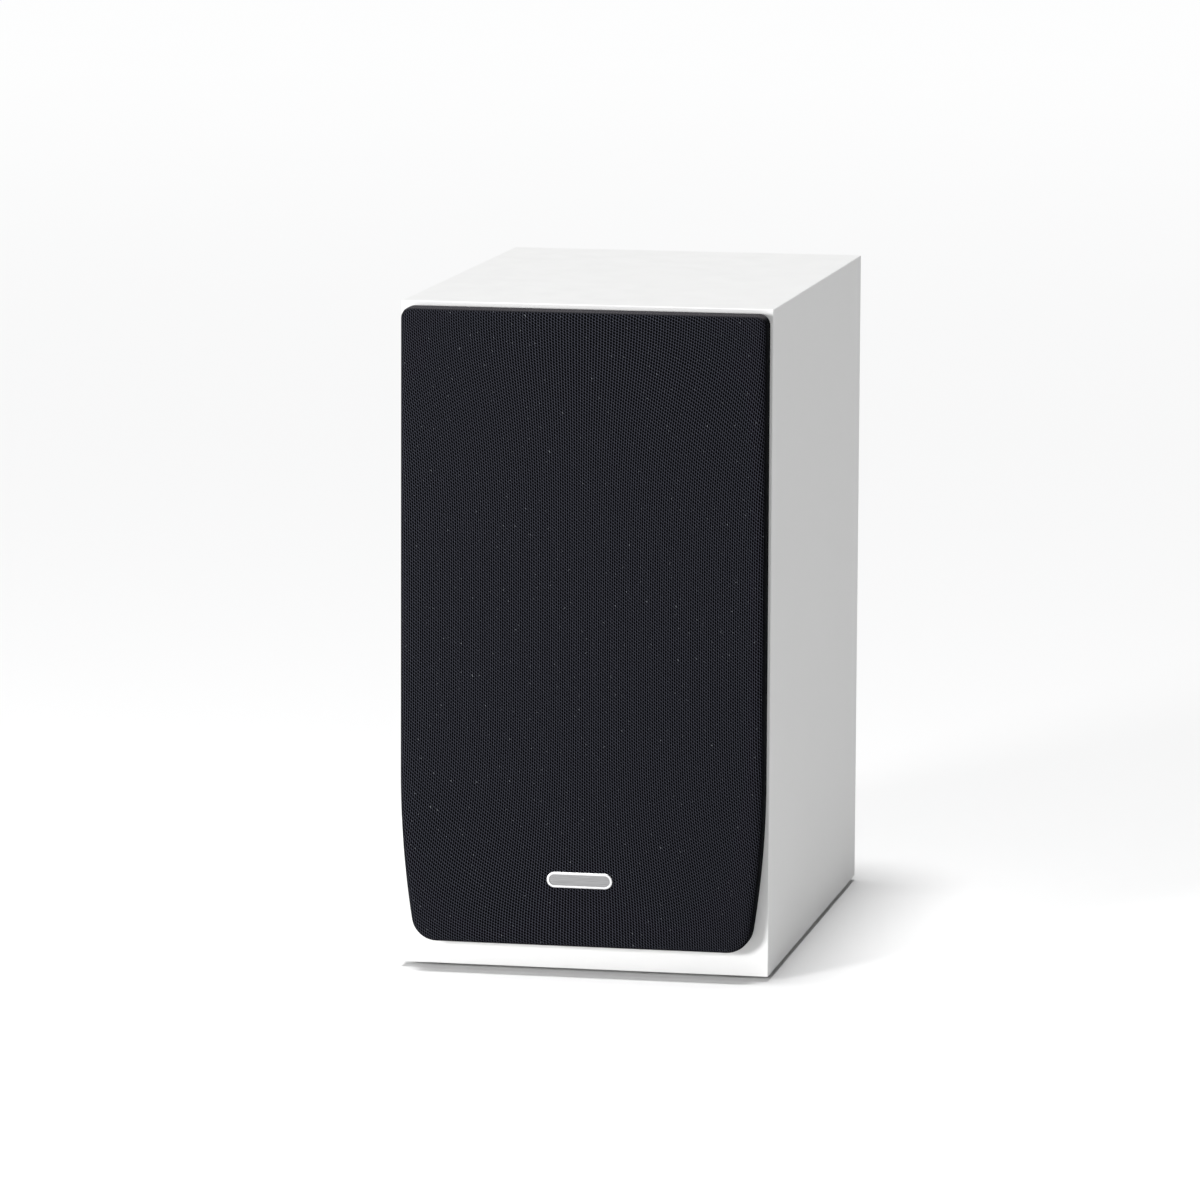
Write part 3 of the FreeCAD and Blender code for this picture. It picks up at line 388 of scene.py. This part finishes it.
def braid(name, color):
    """Fine copper strands plaited round a thread."""
    g = Graph(name, color, 0.35, Metallic=0.9)
    slope = g.vector("MULTIPLY", g.place, (1, 0.6, 1))
    one = g.lines(g.math("ADD", g.axis(slope, 0), g.axis(slope, 2)), 0.0006)
    other = g.lines(g.math("SUBTRACT", g.axis(slope, 2), g.axis(slope, 0)), 0.0006)
    plait = g.math("MAXIMUM", one, other)
    g.shade(plait, 0.35, 1.2)
    g.emboss(plait, 0.0001)
    return g.material


def laminate(name, color):
    """Pressed sheet with fibres in two directions under a resin skin."""
    g = Graph(name, color, 0.38, Coat_Weight=0.2)
    along_x = g.noise(900, 3, stretch=(0.1, 1, 1))
    across_x = g.noise(900, 3, stretch=(1, 0.1, 0.1))
    fibres = g.math("MULTIPLY", across_x, along_x)
    g.shade(g.span(fibres, 0.1, 0.4), 0.75, 1.25)
    g.rough(g.noise(500, 2), 0.32, 0.48)
    g.emboss(fibres, 0.00002)
    return g.material


def circuit_board(name, color):
    """Glass laminate with broad tracks under its solder mask."""
    g = Graph(name, color, 0.35, Coat_Weight=0.3)
    layout = {"Vector": g.place, "Scale": 38.0, "Mortar Size": 0.045,
              "Brick Width": 0.9, "Row Height": 0.37}
    gaps = g.add("TexBrick", layout, offset=0.35, squash=0.6, squash_frequency=3).outputs["Fac"]
    track = g.math("SUBTRACT", 1.0, gaps)
    warp = g.lines(g.axis(g.place, 0), 0.0009)
    weft = g.lines(g.axis(g.place, 1), 0.0009)
    weave = g.math("MULTIPLY", warp, weft)
    ground = g.blend(weave, g.tint(0.8), g.tint(1.05))
    g.paint(g.blend(track, ground, (0.28, 0.13, 0.03, 1)))
    g.emboss(track, 0.00004)
    g.emboss(weave, 0.00001)
    return g.material


def nylon(name, color):
    """Natural nylon, slightly see-through at its edges."""
    g = Graph(name, color, 0.4, Subsurface_Weight=0.3, Subsurface_Scale=0.002)
    g.shade(g.noise(200, 3), 0.93, 1.02)
    g.rough(g.noise(600, 2), 0.34, 0.5)
    g.emboss(g.noise(1500, 2), 0.00001)
    return g.material


def film_wrap(name, color):
    """Polyester tape wound round a capacitor."""
    g = Graph(name, color, 0.2, Coat_Weight=0.5, Coat_Roughness=0.1)
    laps = g.noise(340, 2, stretch=(1, 0.08, 1))
    g.shade(laps, 0.85, 1.1)
    g.rough(laps, 0.16, 0.3)
    g.emboss(laps, 0.00005)
    return g.material


def cement(name, color):
    """Cast ceramic cement with open pores."""
    g = Graph(name, color, 0.85)
    g.shade(g.noise(420, 4), 0.82, 1.05)
    g.emboss(g.span(g.cells(1300.0, "Distance"), 0.1, 0.35), 0.00006)
    g.rough(g.noise(700, 2), 0.78, 0.92)
    return g.material


def batting(name, color):
    """Loose polyester fibre."""
    g = Graph(name, color, 0.95, Sheen_Weight=0.5, Sheen_Roughness=0.6)
    fibres = g.noise(900, 5, stretch=(0.3, 1, 0.5))
    tufts = g.noise(90, 4)
    g.shade(g.math("MULTIPLY", fibres, tufts), 0.75, 1.1)
    g.rough(tufts, 0.88, 1.0)
    g.emboss(fibres, 0.0004)
    g.emboss(tufts, 0.002)
    return g.material


def stitch_grid(g, flat):
    """The place on the knit, counted in columns and in holes along them, which stray a little."""
    inputs = {"Vector": flat, "Scale": 330.0, "Detail": 2.0}
    stray = g.add("TexNoise", inputs).outputs["Color"]
    stray = g.vector("MULTIPLY_ADD", stray, (WANDER, WANDER, 0), (-WANDER / 2, -WANDER / 2, 0))
    return g.vector("MULTIPLY_ADD", flat, (1 / WALE, 1 / COURSE, 0), stray)


def hole_distance(g, stitch):
    """The distance to the nearest hole, in stitches."""
    distances = []
    for shift in ((0, 0, 0), (1, COLUMN_SHIFT, 0)):     # the even columns, then the odd ones
        moved = g.vector("ADD", stitch, shift)
        distances.append(g.vector("LENGTH", g.vector("WRAP", moved, (1, 0.5, 1), (-1, -0.5, -1))))
    return g.math("MINIMUM", *distances)


def loop_relief(g, across, along):
    """How much of the light the loops between the holes catch."""
    past = g.math("SUBTRACT", along, 0.25)
    lean = g.lines(g.math("MULTIPLY_ADD", across, 0.5, past), 1)
    back = g.lines(g.math("MULTIPLY_ADD", across, -0.5, past), 1)
    legs = g.lines(g.math("SUBTRACT", across, 0.25), 1)
    return g.span(g.math("MULTIPLY_ADD", back, 0.4, g.math("ADD", lean, legs)), 0.65, 1.95)


def knit(name, color):
    """Open warp knit: columns of small holes, every other column about half a stitch lower.

    Round the grille's edge the yarn is darkened with painted shade, except at the top, which
    gets a painted highlight for the light from above.
    """
    g = Graph(name, color, 0.85, Specular_IOR_Level=0.02)
    flat = g.add("UVMap", uv_map="weave").outputs[0]
    stitch = stitch_grid(g, flat)
    across, along = g.axis(stitch, 0), g.axis(stitch, 1)
    edge_start, edge_end = GRILLE_FRONT_Y + 0.0004, GRILLE_FRONT_Y + 0.0018
    wall = g.span(g.axis(g.place, 1), edge_start, edge_end)
    # The top wall gets a painted highlight, standing in for the light from above.
    high = g.span(g.axis(g.place, 2), GRILLE_TOP_Z - 0.0024, GRILLE_TOP_Z - 0.0002)
    top_wall_highlight = g.math("MULTIPLY", high, wall)
    # Painted shade: on the walls round the edge the yarn keeps 0.4 of its light, except on the top
    # wall.
    drawn = g.math("MAXIMUM", g.math("MULTIPLY_ADD", wall, -0.6, 1.0), top_wall_highlight)
    relief = g.math("MULTIPLY", loop_relief(g, across, along), drawn)
    yarn = g.math("MULTIPLY", g.span(hole_distance(g, stitch), HOLE_R, HOLE_RIM), relief)
    # Sharpens the painted light on the loops into highlights on their crowns.
    yarn = g.math("POWER", yarn, YARN_CONTRAST)
    # The painted highlight also fills the holes on the top wall.
    yarn = g.math("MAXIMUM", yarn, g.math("MULTIPLY", top_wall_highlight, 0.5))
    ply = g.lines(g.math("ADD", across, along), 0.22)
    fuzz = g.noise(5200, 3, vector=flat)
    tone = g.math("MULTIPLY_ADD", ply, 0.12, g.math("MULTIPLY", fuzz, 0.5))
    speck = g.span(g.noise(620, 1, vector=flat), 0.7, 0.78)
    lit = g.blend(tone, (0.033, 0.034, 0.044, 1), (0.078, 0.081, 0.103, 1))
    lit = g.blend(speck, lit, (0.17, 0.18, 0.20, 1))
    # The painted highlight's colour on the top wall.
    lit = g.blend(top_wall_highlight, lit, (0.112, 0.107, 0.116, 1))
    g.paint(g.blend(yarn, (0.0005, 0.0005, 0.0008, 1), lit))
    g.emboss(g.math("MULTIPLY_ADD", ply, 0.06, yarn), 0.00022)
    return g.material


def variant(finish, **settings):
    """A finish with settings of its own."""
    return lambda name, color: finish(name, color, **settings)


FINISHES = {
    "cabinet_lacquer": lacquer,
    "grille_cloth": knit,
    "grille_frame": moulded,
    "badge": badge_metal,
    "rubber": rubber,
    "basket": powder_coat,
    "trim_ring": variant(moulded, gloss=0.6, grain=2600),
    "surround": rubber,
    "cone": variant(cone_skin, pitch=0.0012),
    "dust_cap": variant(cone_skin, pitch=0.004),
    "spider": variant(cross_weave, pitch=0.0009, gloss=0.6, height=0.00012, sheen=0.2),
    "coil_former": metal,
    "copper": variant(wound, pitch=0.0004, axis=1),
    "plated_steel": plated,
    "ferrite": sintered,
    "phenolic": laminate,
    "tinned_brass": metal,
    "black_screws": variant(moulded, gloss=0.3),
    "faceplate": variant(moulded, gloss=0.42),
    "dome": variant(cross_weave, pitch=0.0004, gloss=0.36, height=0.00003, sheen=0.5),
    "port": moulded,
    "cup": moulded,
    "gold_brass": variant(metal, gloss=0.18),
    "red_plastic": glossy_plastic,
    "black_plastic": glossy_plastic,
    "circuit_board": circuit_board,
    "nylon": nylon,
    "capacitor_sleeve": film_wrap,
    "resistor_cement": cement,
    "red_insulation": variant(rubber, gloss=0.4),
    "black_insulation": variant(rubber, gloss=0.4),
    "batting": batting,
}
# Finishes of single nodes, where the one of their slot doesn't fit.
NODE_FINISHES = {
    "crossover_inductors": variant(wound, pitch=0.0012, axis=2),
    "woofer_tinsel_leads": braid,
}


def finish_nodes(frame):
    """Gives each CAD node its finish, and returns the materials by slot or node."""
    colors = {m["slot"]: m["base_color"] for m in frame["record"]["materials"]}
    made = {slot: FINISHES[slot](slot, color) for slot, color in colors.items()}
    slots = {p["node"]: p["material_slot"] for p in frame["record"]["subparts"]}
    for node, make in NODE_FINISHES.items():
        made[node] = make(node, colors[slots[node]])
    for node, obj in frame["nodes"].items():
        obj.data.materials.clear()
        obj.data.materials.append(made.get(node, made[slots[node]]))
    return made


# ---------------------------------------------------------------- mesh helpers
def place_object(name, data):
    """A new object in the scene."""
    made = bpy.data.objects.new(name, data)
    bpy.context.scene.collection.objects.link(made)
    return made


def piece(name, points, faces, material):
    """A smooth mesh object with one material."""
    mesh = bpy.data.meshes.new(name)
    mesh.from_pydata(points, [], faces)
    mesh.shade_smooth()
    mesh.materials.append(material)
    return place_object(name, mesh)


def tidy_mesh(obj, closed=True):
    """Merges points that coincide, and turns the faces of a closed mesh outwards."""
    work = bmesh.new()
    work.from_mesh(obj.data)
    bmesh.ops.remove_doubles(work, verts=work.verts, dist=1e-7)
    if closed:
        bmesh.ops.recalc_face_normals(work, faces=work.faces)
    work.to_mesh(obj.data)
    work.free()


def arc(start, through, end, steps):
    """Points after start on the circle through three points, up to end."""
    (ax, ay), (bx, by), (cx, cy) = start, through, end
    d = 2 * (ax * (by - cy) + bx * (cy - ay) + cx * (ay - by))
    a2, b2, c2 = ax * ax + ay * ay, bx * bx + by * by, cx * cx + cy * cy
    ox = (a2 * (by - cy) + b2 * (cy - ay) + c2 * (ay - by)) / d
    oy = (a2 * (cx - bx) + b2 * (ax - cx) + c2 * (bx - ax)) / d
    first = math.atan2(ay - oy, ax - ox)
    middle = (math.atan2(by - oy, bx - ox) - first + math.pi) % (2 * math.pi) - math.pi
    last = (math.atan2(cy - oy, cx - ox) - first + math.pi) % (2 * math.pi) - math.pi
    if middle * last < 0:
        last -= math.copysign(2 * math.pi, last)
    radius = math.hypot(ax - ox, ay - oy)
    angles = [first + last * k / steps for k in range(1, steps + 1)]
    return [(ox + radius * math.cos(a), oy + radius * math.sin(a)) for a in angles]


def profile(steps, arc_steps):
    """Points along a line: a pair ends a straight run, and a pair of pairs ends an arc."""
    line = [steps[0]]
    for step in steps[1:]:
        if isinstance(step[0], tuple):
            line += arc(line[-1], step[0], step[1], arc_steps)
        else:
            line.append(step)
    return line


def direction(line, k):
    """The way a line of pairs runs at its point k."""
    before = Vector(line[max(k - 1, 0)])
    after = Vector(line[min(k + 1, len(line) - 1)])
    return (after - before).normalized()


def thickened(line, thick):
    """A closed outline round a line, half of thick to each side."""
    sides = ([], [])
    for k, point in enumerate(line):
        along = direction(line, k)
        across = Vector((-along.y, along.x)) * thick / 2
        sides[0].append(Vector(point) + across)
        sides[1].append(Vector(point) - across)
    return sides[0] + sides[1][::-1]


def turned(name, outline, z, material):
    """A ring turned about a line along Y at height z, from a closed outline in mm."""
    count = len(outline)
    points = []
    for k in range(TURNED_SEGMENTS):
        a = 2 * math.pi * k / TURNED_SEGMENTS
        for r, d in outline:
            points.append((r * math.cos(a) / 1000, BAFFLE_Y + d / 1000, z + r * math.sin(a) / 1000))
    faces = []
    for k in range(TURNED_SEGMENTS):
        here = k * count
        ahead = (k + 1) % TURNED_SEGMENTS * count
        for i in range(count):
            j = (i + 1) % count
            faces.append((here + i, here + j, ahead + j, ahead + i))
    made = piece(name, points, faces, material)
    tidy_mesh(made)
    return made


def weigh(obj, weight):
    """Bakes obj's placement into its mesh and works out each point's share from weight, 0 for the
    first body and 1 for the second; nothing uses these shares.
    """
    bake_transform(obj)
    shares = [weight(v.co) for v in obj.data.vertices]


def eased(value, start, end):
    """0 at start, 1 at end and smooth in between."""
    t = min(1.0, max(0.0, (value - start) / (end - start)))
    return t * t * (3 - 2 * t)


# ---------------------------------------------------------------- grille cloth
def grille_outline(inset):
    """Points (x, z) round the grille, moved in by inset, clockwise from its top's middle."""
    half = GRILLE_HALF_W - inset
    top = GRILLE_TOP_Z - inset
    low = GRILLE_BOTTOM_Z + inset
    top_r = GRILLE_TOP_R - inset
    bottom_r = GRILLE_BOTTOM_R - inset
    side_r = GRILLE_SIDE_R - inset
    side_x = GRILLE_HALF_W - GRILLE_SIDE_R
    corner_z = low + bottom_r
    corner_x = side_x + math.sqrt((side_r - bottom_r) ** 2 - (GRILLE_BEND_Z - corner_z) ** 2)
    lean = math.atan2(corner_z - GRILLE_BEND_Z, corner_x - side_x)

    def run(x0, z0, x1, z1, steps):
        return [(x0 + (x1 - x0) * k / steps, z0 + (z1 - z0) * k / steps) for k in range(steps)]

    def sweep(cx, cz, r, first, last, steps):
        turn = (last - first) / steps
        angles = [first + turn * k for k in range(steps)]
        return [(cx + r * math.cos(a), cz + r * math.sin(a)) for a in angles]

    right = run(0, top, half - top_r, top, 16)
    right += sweep(half - top_r, top - top_r, top_r, math.pi / 2, 0, 8)
    right += run(half, top - top_r, half, GRILLE_BEND_Z, 40)
    right += sweep(side_x, GRILLE_BEND_Z, side_r, 0, lean, 14)
    right += sweep(corner_x, corner_z, bottom_r, lean, -math.pi / 2, 10)
    right += run(corner_x, low, 0, low, 15)
    left = [(-x, z) for x, z in reversed(right[1:])]
    return right + [(0, low)] + left


def knit_place(x, z):
    """Where a point of the stretched cloth lies on the knit as it came off the roll."""
    below_top = GRILLE_TOP_Z - z
    above_bottom = z - GRILLE_BOTTOM_Z
    near_top = math.exp(-(below_top / FAN_REACH) ** 2)
    near_bottom = math.exp(-(above_bottom / FAN_REACH) ** 2)
    flatter = 1 - 0.5 * (x / GRILLE_HALF_W) ** 2
    u = x * (1 - FAN_SHARE * (near_top + near_bottom) * flatter)
    squeeze = math.tanh(above_bottom / FAN_REACH) - math.tanh(below_top / FAN_REACH)
    pull = CORNER_PULL * x * x * flatter * (near_bottom - near_top)
    v = z + SLANT * x + COURSE_SQUEEZE * FAN_REACH * squeeze + pull
    return u, v


def cloth_bends():
    """The sheet's section from the rim of its flat front to its hem: (inset, y)."""
    back_y = BAFFLE_Y - BACK_GAP
    bends = []
    for k in range(1, 7):
        a = math.radians(15 * k)
        y = GRILLE_FRONT_Y + GRILLE_EDGE_R * (1 - math.cos(a))
        bends.append((GRILLE_EDGE_R * (1 - math.sin(a)), y))
    bends += [(0, GRILLE_FRONT_Y + depth) for depth in WALL_DEPTHS] + [(0, back_y - FOLD_R)]
    for k in range(1, 4):
        a = math.radians(30 * k)
        bends.append((FOLD_R * (1 - math.cos(a)), back_y - FOLD_R * (1 - math.sin(a))))
    return bends + [(FOLD_R + HEM / 2, back_y), (FOLD_R + HEM, back_y)]


def cloth_rings():
    """Closed rings of the sheet, from its middle out and round to its hem.

    Each is a pair: the points in the frame, and their places (x, z) on the unrolled sheet.
    """
    inner = grille_outline(GRILLE_EDGE_R)
    outer = grille_outline(0)
    outwards = [(Vector(o) - Vector(i)).normalized() for o, i in zip(outer, inner)]
    low, high = GRILLE_BOTTOM_Z + GRILLE_HALF_W, GRILLE_TOP_Z - GRILLE_HALF_W
    spine = [(0, min(max(z, low), high)) for x, z in inner]
    rings = []
    for k in range(CLOTH_RINGS + 1):
        flat = [Vector(s).lerp(Vector(p), k / CLOTH_RINGS) for s, p in zip(spine, inner)]
        rings.append(([(p.x, GRILLE_FRONT_Y, p.y) for p in flat], flat))
    travelled = 0.0
    last = (GRILLE_EDGE_R, GRILLE_FRONT_Y)
    for inset, y in cloth_bends():
        travelled += math.dist(last, (inset, y))
        last = (inset, y)
        edge = grille_outline(inset)
        unrolled = [Vector(p) + n * travelled for p, n in zip(inner, outwards)]
        rings.append(([(x, y, z) for x, z in edge], unrolled))
    return rings


def grille_cloth(material):
    """The cloth, stretched over the frame's front, bent over its edge and folded in behind."""
    rings = cloth_rings()
    count = len(rings[0][0])
    points = [p for ring, places in rings for p in ring]
    places = [knit_place(p[0], p[1]) for ring, unrolled in rings for p in unrolled]
    faces = []
    for k in range(len(rings) - 1):
        for i in range(count):
            j = (i + 1) % count
            here, ahead = k * count, (k + 1) * count
            faces.append((here + i, ahead + i, ahead + j, here + j))
    cloth = piece("grille_cloth_sheet", points, faces, material)
    weave = cloth.data.uv_layers.new(name="weave")
    for loop in cloth.data.loops:
        weave.data[loop.index].uv = places[loop.vertex_index]
    tidy_mesh(cloth, closed=False)
    solid = cloth.modifiers.new("thickness", "SOLIDIFY")
    solid.thickness = CLOTH_T
    solid.offset = -1
    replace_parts(cloth, "grille_cloth")
    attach(cloth, "grille")


# ---------------------------------------------------------------- pieces round the drivers
def from_axis(point, z):
    """The distance in X and Z from a driver's axis at height z."""
    return math.hypot(point.x, point.z - z)


def bend_ring(ring, z, still_r, moving_r):
    """Gives a turned piece shares through weigh: 0 outside still_r and 1 inside moving_r."""
    weigh(ring, lambda p: eased(from_axis(p, z), still_r, moving_r))


def spider_line():
    """The spider's section: a flat neck, waves to alternate sides and a flat rim."""
    r = SPIDER_WAVES_FROM
    line = [(SPIDER_INNER_R, SPIDER_DEPTH), (r, SPIDER_DEPTH)]
    for k in range(SPIDER_WAVES):
        side = 1 if k % 2 else -1
        crest = (r + SPIDER_WAVE_W / 2, SPIDER_DEPTH + side * SPIDER_WAVE_H)
        r += SPIDER_WAVE_W
        line.append((crest, (r, SPIDER_DEPTH)))
    return line + [(SPIDER_OUTER_R, SPIDER_DEPTH)]


def flexible_parts(made):
    """The surrounds, the spider and the tinsel leads."""

    outline = thickened(profile(WOOFER_ROLL, 24), WOOFER_ROLL_T)
    surround = turned("woofer_surround_roll", outline, WOOFER_Z, made["surround"])
    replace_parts(surround, "woofer_surround")
    bend_ring(surround, WOOFER_Z, still_r=0.0600, moving_r=0.0510)

    outline = thickened(profile(spider_line(), 8), SPIDER_T)
    spider = turned("woofer_spider_disc", outline, WOOFER_Z, made["spider"])
    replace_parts(spider, "woofer_spider")
    bend_ring(spider, WOOFER_Z, still_r=0.0340, moving_r=0.0140)

    outline = thickened(profile(TWEETER_ROLL, 16), TWEETER_ROLL_T)
    ring = turned("tweeter_surround_roll", outline, TWEETER_Z, made["dome"])
    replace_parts(ring, "tweeter_surround")
    bend_ring(ring, TWEETER_Z, still_r=0.0165, moving_r=0.0130)

    leads = tinsel_leads(made["woofer_tinsel_leads"])
    weigh(leads, lambda p: eased(p.z, TINSEL_STILL_Z, TINSEL_MOVING_Z))


def tinsel_leads(material):
    """The two braids between the terminal board and the cone."""
    curve = bpy.data.curves.new("woofer_tinsel_braids", "CURVE")
    curve.dimensions = "3D"
    curve.bevel_depth = TINSEL_R / 1000
    curve.bevel_resolution = 5
    curve.use_fill_caps = True
    for side in (-1, 1):
        line = curve.splines.new("NURBS")
        line.points.add(len(TINSEL_ROUTE) - 1)
        for point, (x, d, up) in zip(line.points, TINSEL_ROUTE):
            point.co = (side * x / 1000, BAFFLE_Y + d / 1000, WOOFER_Z + up / 1000, 1)
        line.order_u = 3
        line.use_endpoint_u = True
        line.resolution_u = 12
    drawn = bpy.data.objects.new("tinsel_route", curve)
    mesh = bpy.data.meshes.new_from_object(drawn)
    mesh.name = "woofer_tinsel_braids"
    mesh.materials.clear()
    mesh.materials.append(material)
    mesh.shade_smooth()
    bpy.data.objects.remove(drawn)
    leads = place_object("woofer_tinsel_braids", mesh)
    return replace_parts(leads, "woofer_tinsel_leads")


# ---------------------------------------------------------------- batting
def mat_line(low, high):
    """The mat's outer line (x, z): up the left wall, along the top and down the right wall."""
    half = high.x
    bend_z = high.z - MAT_BEND_R
    bend_x = -half + MAT_BEND_R
    middle = MAT_BEND_R * 0.293     # the radius less its share at 45 degrees
    line = [(-half, low.z + (bend_z - low.z) * k / MAT_WALL_STEPS) for k in range(MAT_WALL_STEPS)]
    line += profile([(-half, bend_z), ((-half + middle, high.z - middle), (bend_x, high.z))], 7)
    line += [(bend_x + (half - MAT_BEND_R) * k / MAT_TOP_STEPS, high.z)
             for k in range(1, MAT_TOP_STEPS + 1)]
    return line + [(-x, z) for x, z in reversed(line[:-1])]


def mat_points(line, low, high):
    """Points on the mat's flat outer side, then on its lumpy inner side."""
    points = []
    for side in (0.0, 1.0):
        for k, (x, z) in enumerate(line):
            along = direction(line, k)
            inwards = Vector((along.y, -along.x))
            for row in range(MAT_ROWS + 1):
                y = low.y + (high.y - low.y) * row / MAT_ROWS
                rim = min(1.0, 6 * min(row, MAT_ROWS - row) / MAT_ROWS,
                          6 * min(k, len(line) - 1 - k) / len(line))
                lump = noise.fractal(Vector((x, y, z)) * MAT_LUMP_SCALE, 0.8, 2.0, 4) * MAT_LUMP_H
                depth = side * (MAT_T * (0.45 + 0.45 * math.sqrt(rim)) + lump * rim)
                points.append((x + inwards.x * depth, y, z + inwards.y * depth))
    return points


def mat_faces(length):
    """Faces over both sides of a mat of length points along its line, and round its rim."""
    width = MAT_ROWS + 1
    inner = length * width      # the first point of the inner side
    faces = []
    for k in range(length - 1):
        for row in range(MAT_ROWS):
            a = k * width + row
            faces.append((a, a + 1, a + width + 1, a + width))
            faces.append((inner + a, inner + a + width, inner + a + width + 1, inner + a + 1))
    rim = [k * width for k in range(length)]
    rim += [(length - 1) * width + row for row in range(1, width)]
    rim += [k * width + MAT_ROWS for k in range(length - 2, -1, -1)]
    rim += range(MAT_ROWS - 1, 0, -1)
    for a, b in zip(rim, rim[1:] + rim[:1]):
        faces.append((a, b, inner + b, inner + a))
    return faces


def batting_pad(material):
    """The damping mat: bent loose fibre, flat against the walls and lumpy inside."""
    low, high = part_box("damping_lining")
    line = mat_line(low, high)
    points = mat_points(line, low, high)
    pad = piece("damping_mat", points, mat_faces(len(line)), material)
    tidy_mesh(pad)
    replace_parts(pad, "damping_lining")
    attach(pad, "cabinet")


# ---------------------------------------------------------------- floor, lights and camera
def studio_floor():
    """A pale floor that brightens into the backdrop far from the object."""
    mesh = bpy.data.meshes.new("studio_floor")
    corners = [(x * FLOOR_HALF, y * FLOOR_HALF, FLOOR_Z)
               for x, y in ((-1, -1), (1, -1), (1, 1), (-1, 1))]
    mesh.from_pydata(corners, [], [(0, 1, 2, 3)])
    g = Graph("studio_floor", (0.915, 0.915, 0.915), 0.9, Specular_IOR_Level=0.1)
    far = g.span(g.vector("LENGTH", g.place), *FLOOR_FADE, 0.0, 0.8)
    g.shade(g.math("MULTIPLY_ADD", g.noise(3, 3), 0.06, far), 0.995, 1.093)
    mesh.materials.append(g.material)
    place_object("studio_floor", mesh)


def lamp(name, kind, energy, towards, location=(0, 0, 0), **settings):
    """A light that shines from the direction towards."""
    light = bpy.data.lights.new(name, kind)
    light.energy = energy
    for key, value in settings.items():
        setattr(light, key, value)
    made = place_object(name, light)
    made.location = location
    made.rotation_mode = "QUATERNION"
    made.rotation_quaternion = Vector(towards).to_track_quat("Z", "Y")


def studio_world():
    """A backdrop that the camera sees as white and that gives off little light of its own."""
    world = bpy.data.worlds.new("studio")
    world.use_nodes = True
    nodes, links = world.node_tree.nodes, world.node_tree.links
    dome = nodes["Background"]
    dome.inputs["Color"].default_value = (0.97, 0.985, 1, 1)
    dome.inputs["Strength"].default_value = BACKDROP_LIGHT
    backdrop = nodes.new("ShaderNodeBackground")
    backdrop.inputs["Color"].default_value = (1, 1, 1, 1)
    backdrop.inputs["Strength"].default_value = 1.0
    seen = nodes.new("ShaderNodeMixShader")
    links.new(nodes.new("ShaderNodeLightPath").outputs["Is Camera Ray"], seen.inputs[0])
    links.new(dome.outputs[0], seen.inputs[1])
    links.new(backdrop.outputs[0], seen.inputs[2])
    links.new(seen.outputs[0], nodes["World Output"].inputs["Surface"])
    bpy.context.scene.world = world


def camera():
    """The camera at the photograph's viewing angle."""
    sin_yaw, cos_yaw = math.sin(VIEW_YAW), math.cos(VIEW_YAW)
    sin_pitch, cos_pitch = math.sin(VIEW_PITCH), math.cos(VIEW_PITCH)
    back = Vector((sin_yaw * cos_pitch, -cos_yaw * cos_pitch, sin_pitch))
    right = Vector((cos_yaw, sin_yaw, 0))
    up = back.cross(right)
    place = VIEW_TARGET + back * VIEW_DISTANCE + right * VIEW_RIGHT + up * VIEW_UP
    rolled_right = right * math.cos(VIEW_ROLL) + up * math.sin(VIEW_ROLL)
    rolled_up = up * math.cos(VIEW_ROLL) - right * math.sin(VIEW_ROLL)
    turn = Matrix((rolled_right, rolled_up, back)).transposed().to_4x4()
    data = bpy.data.cameras.new("camera")
    data.lens = LENS_MM
    data.sensor_width = SENSOR_MM
    data.clip_end = CLIP_END
    made = place_object("camera", data)
    made.matrix_world = Matrix.Translation(place) @ turn
    bpy.context.scene.camera = made


def studio():
    """The stage round the object: floor, backdrop, lights and camera."""
    scene = bpy.context.scene
    scene.view_settings.view_transform = "Standard"
    scene.view_settings.look = "None"
    studio_floor()
    studio_world()
    lamp("overhead", "SUN", SUN_STRENGTH, SUN_FROM, angle=math.radians(SUN_ANGLE))
    softbox_place = VIEW_TARGET + Vector(SOFTBOX_FROM).normalized() * SOFTBOX_DISTANCE
    lamp("front_left", "AREA", SOFTBOX_POWER, SOFTBOX_FROM, softbox_place,
         shape="DISK", size=SOFTBOX_SIZE)
    camera()


# ---------------------------------------------------------------- assembly
def main():
    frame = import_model()
    made = finish_nodes(frame)
    grille_cloth(made["grille_cloth"])
    flexible_parts(made)
    batting_pad(made["batting"])
    studio()


main()
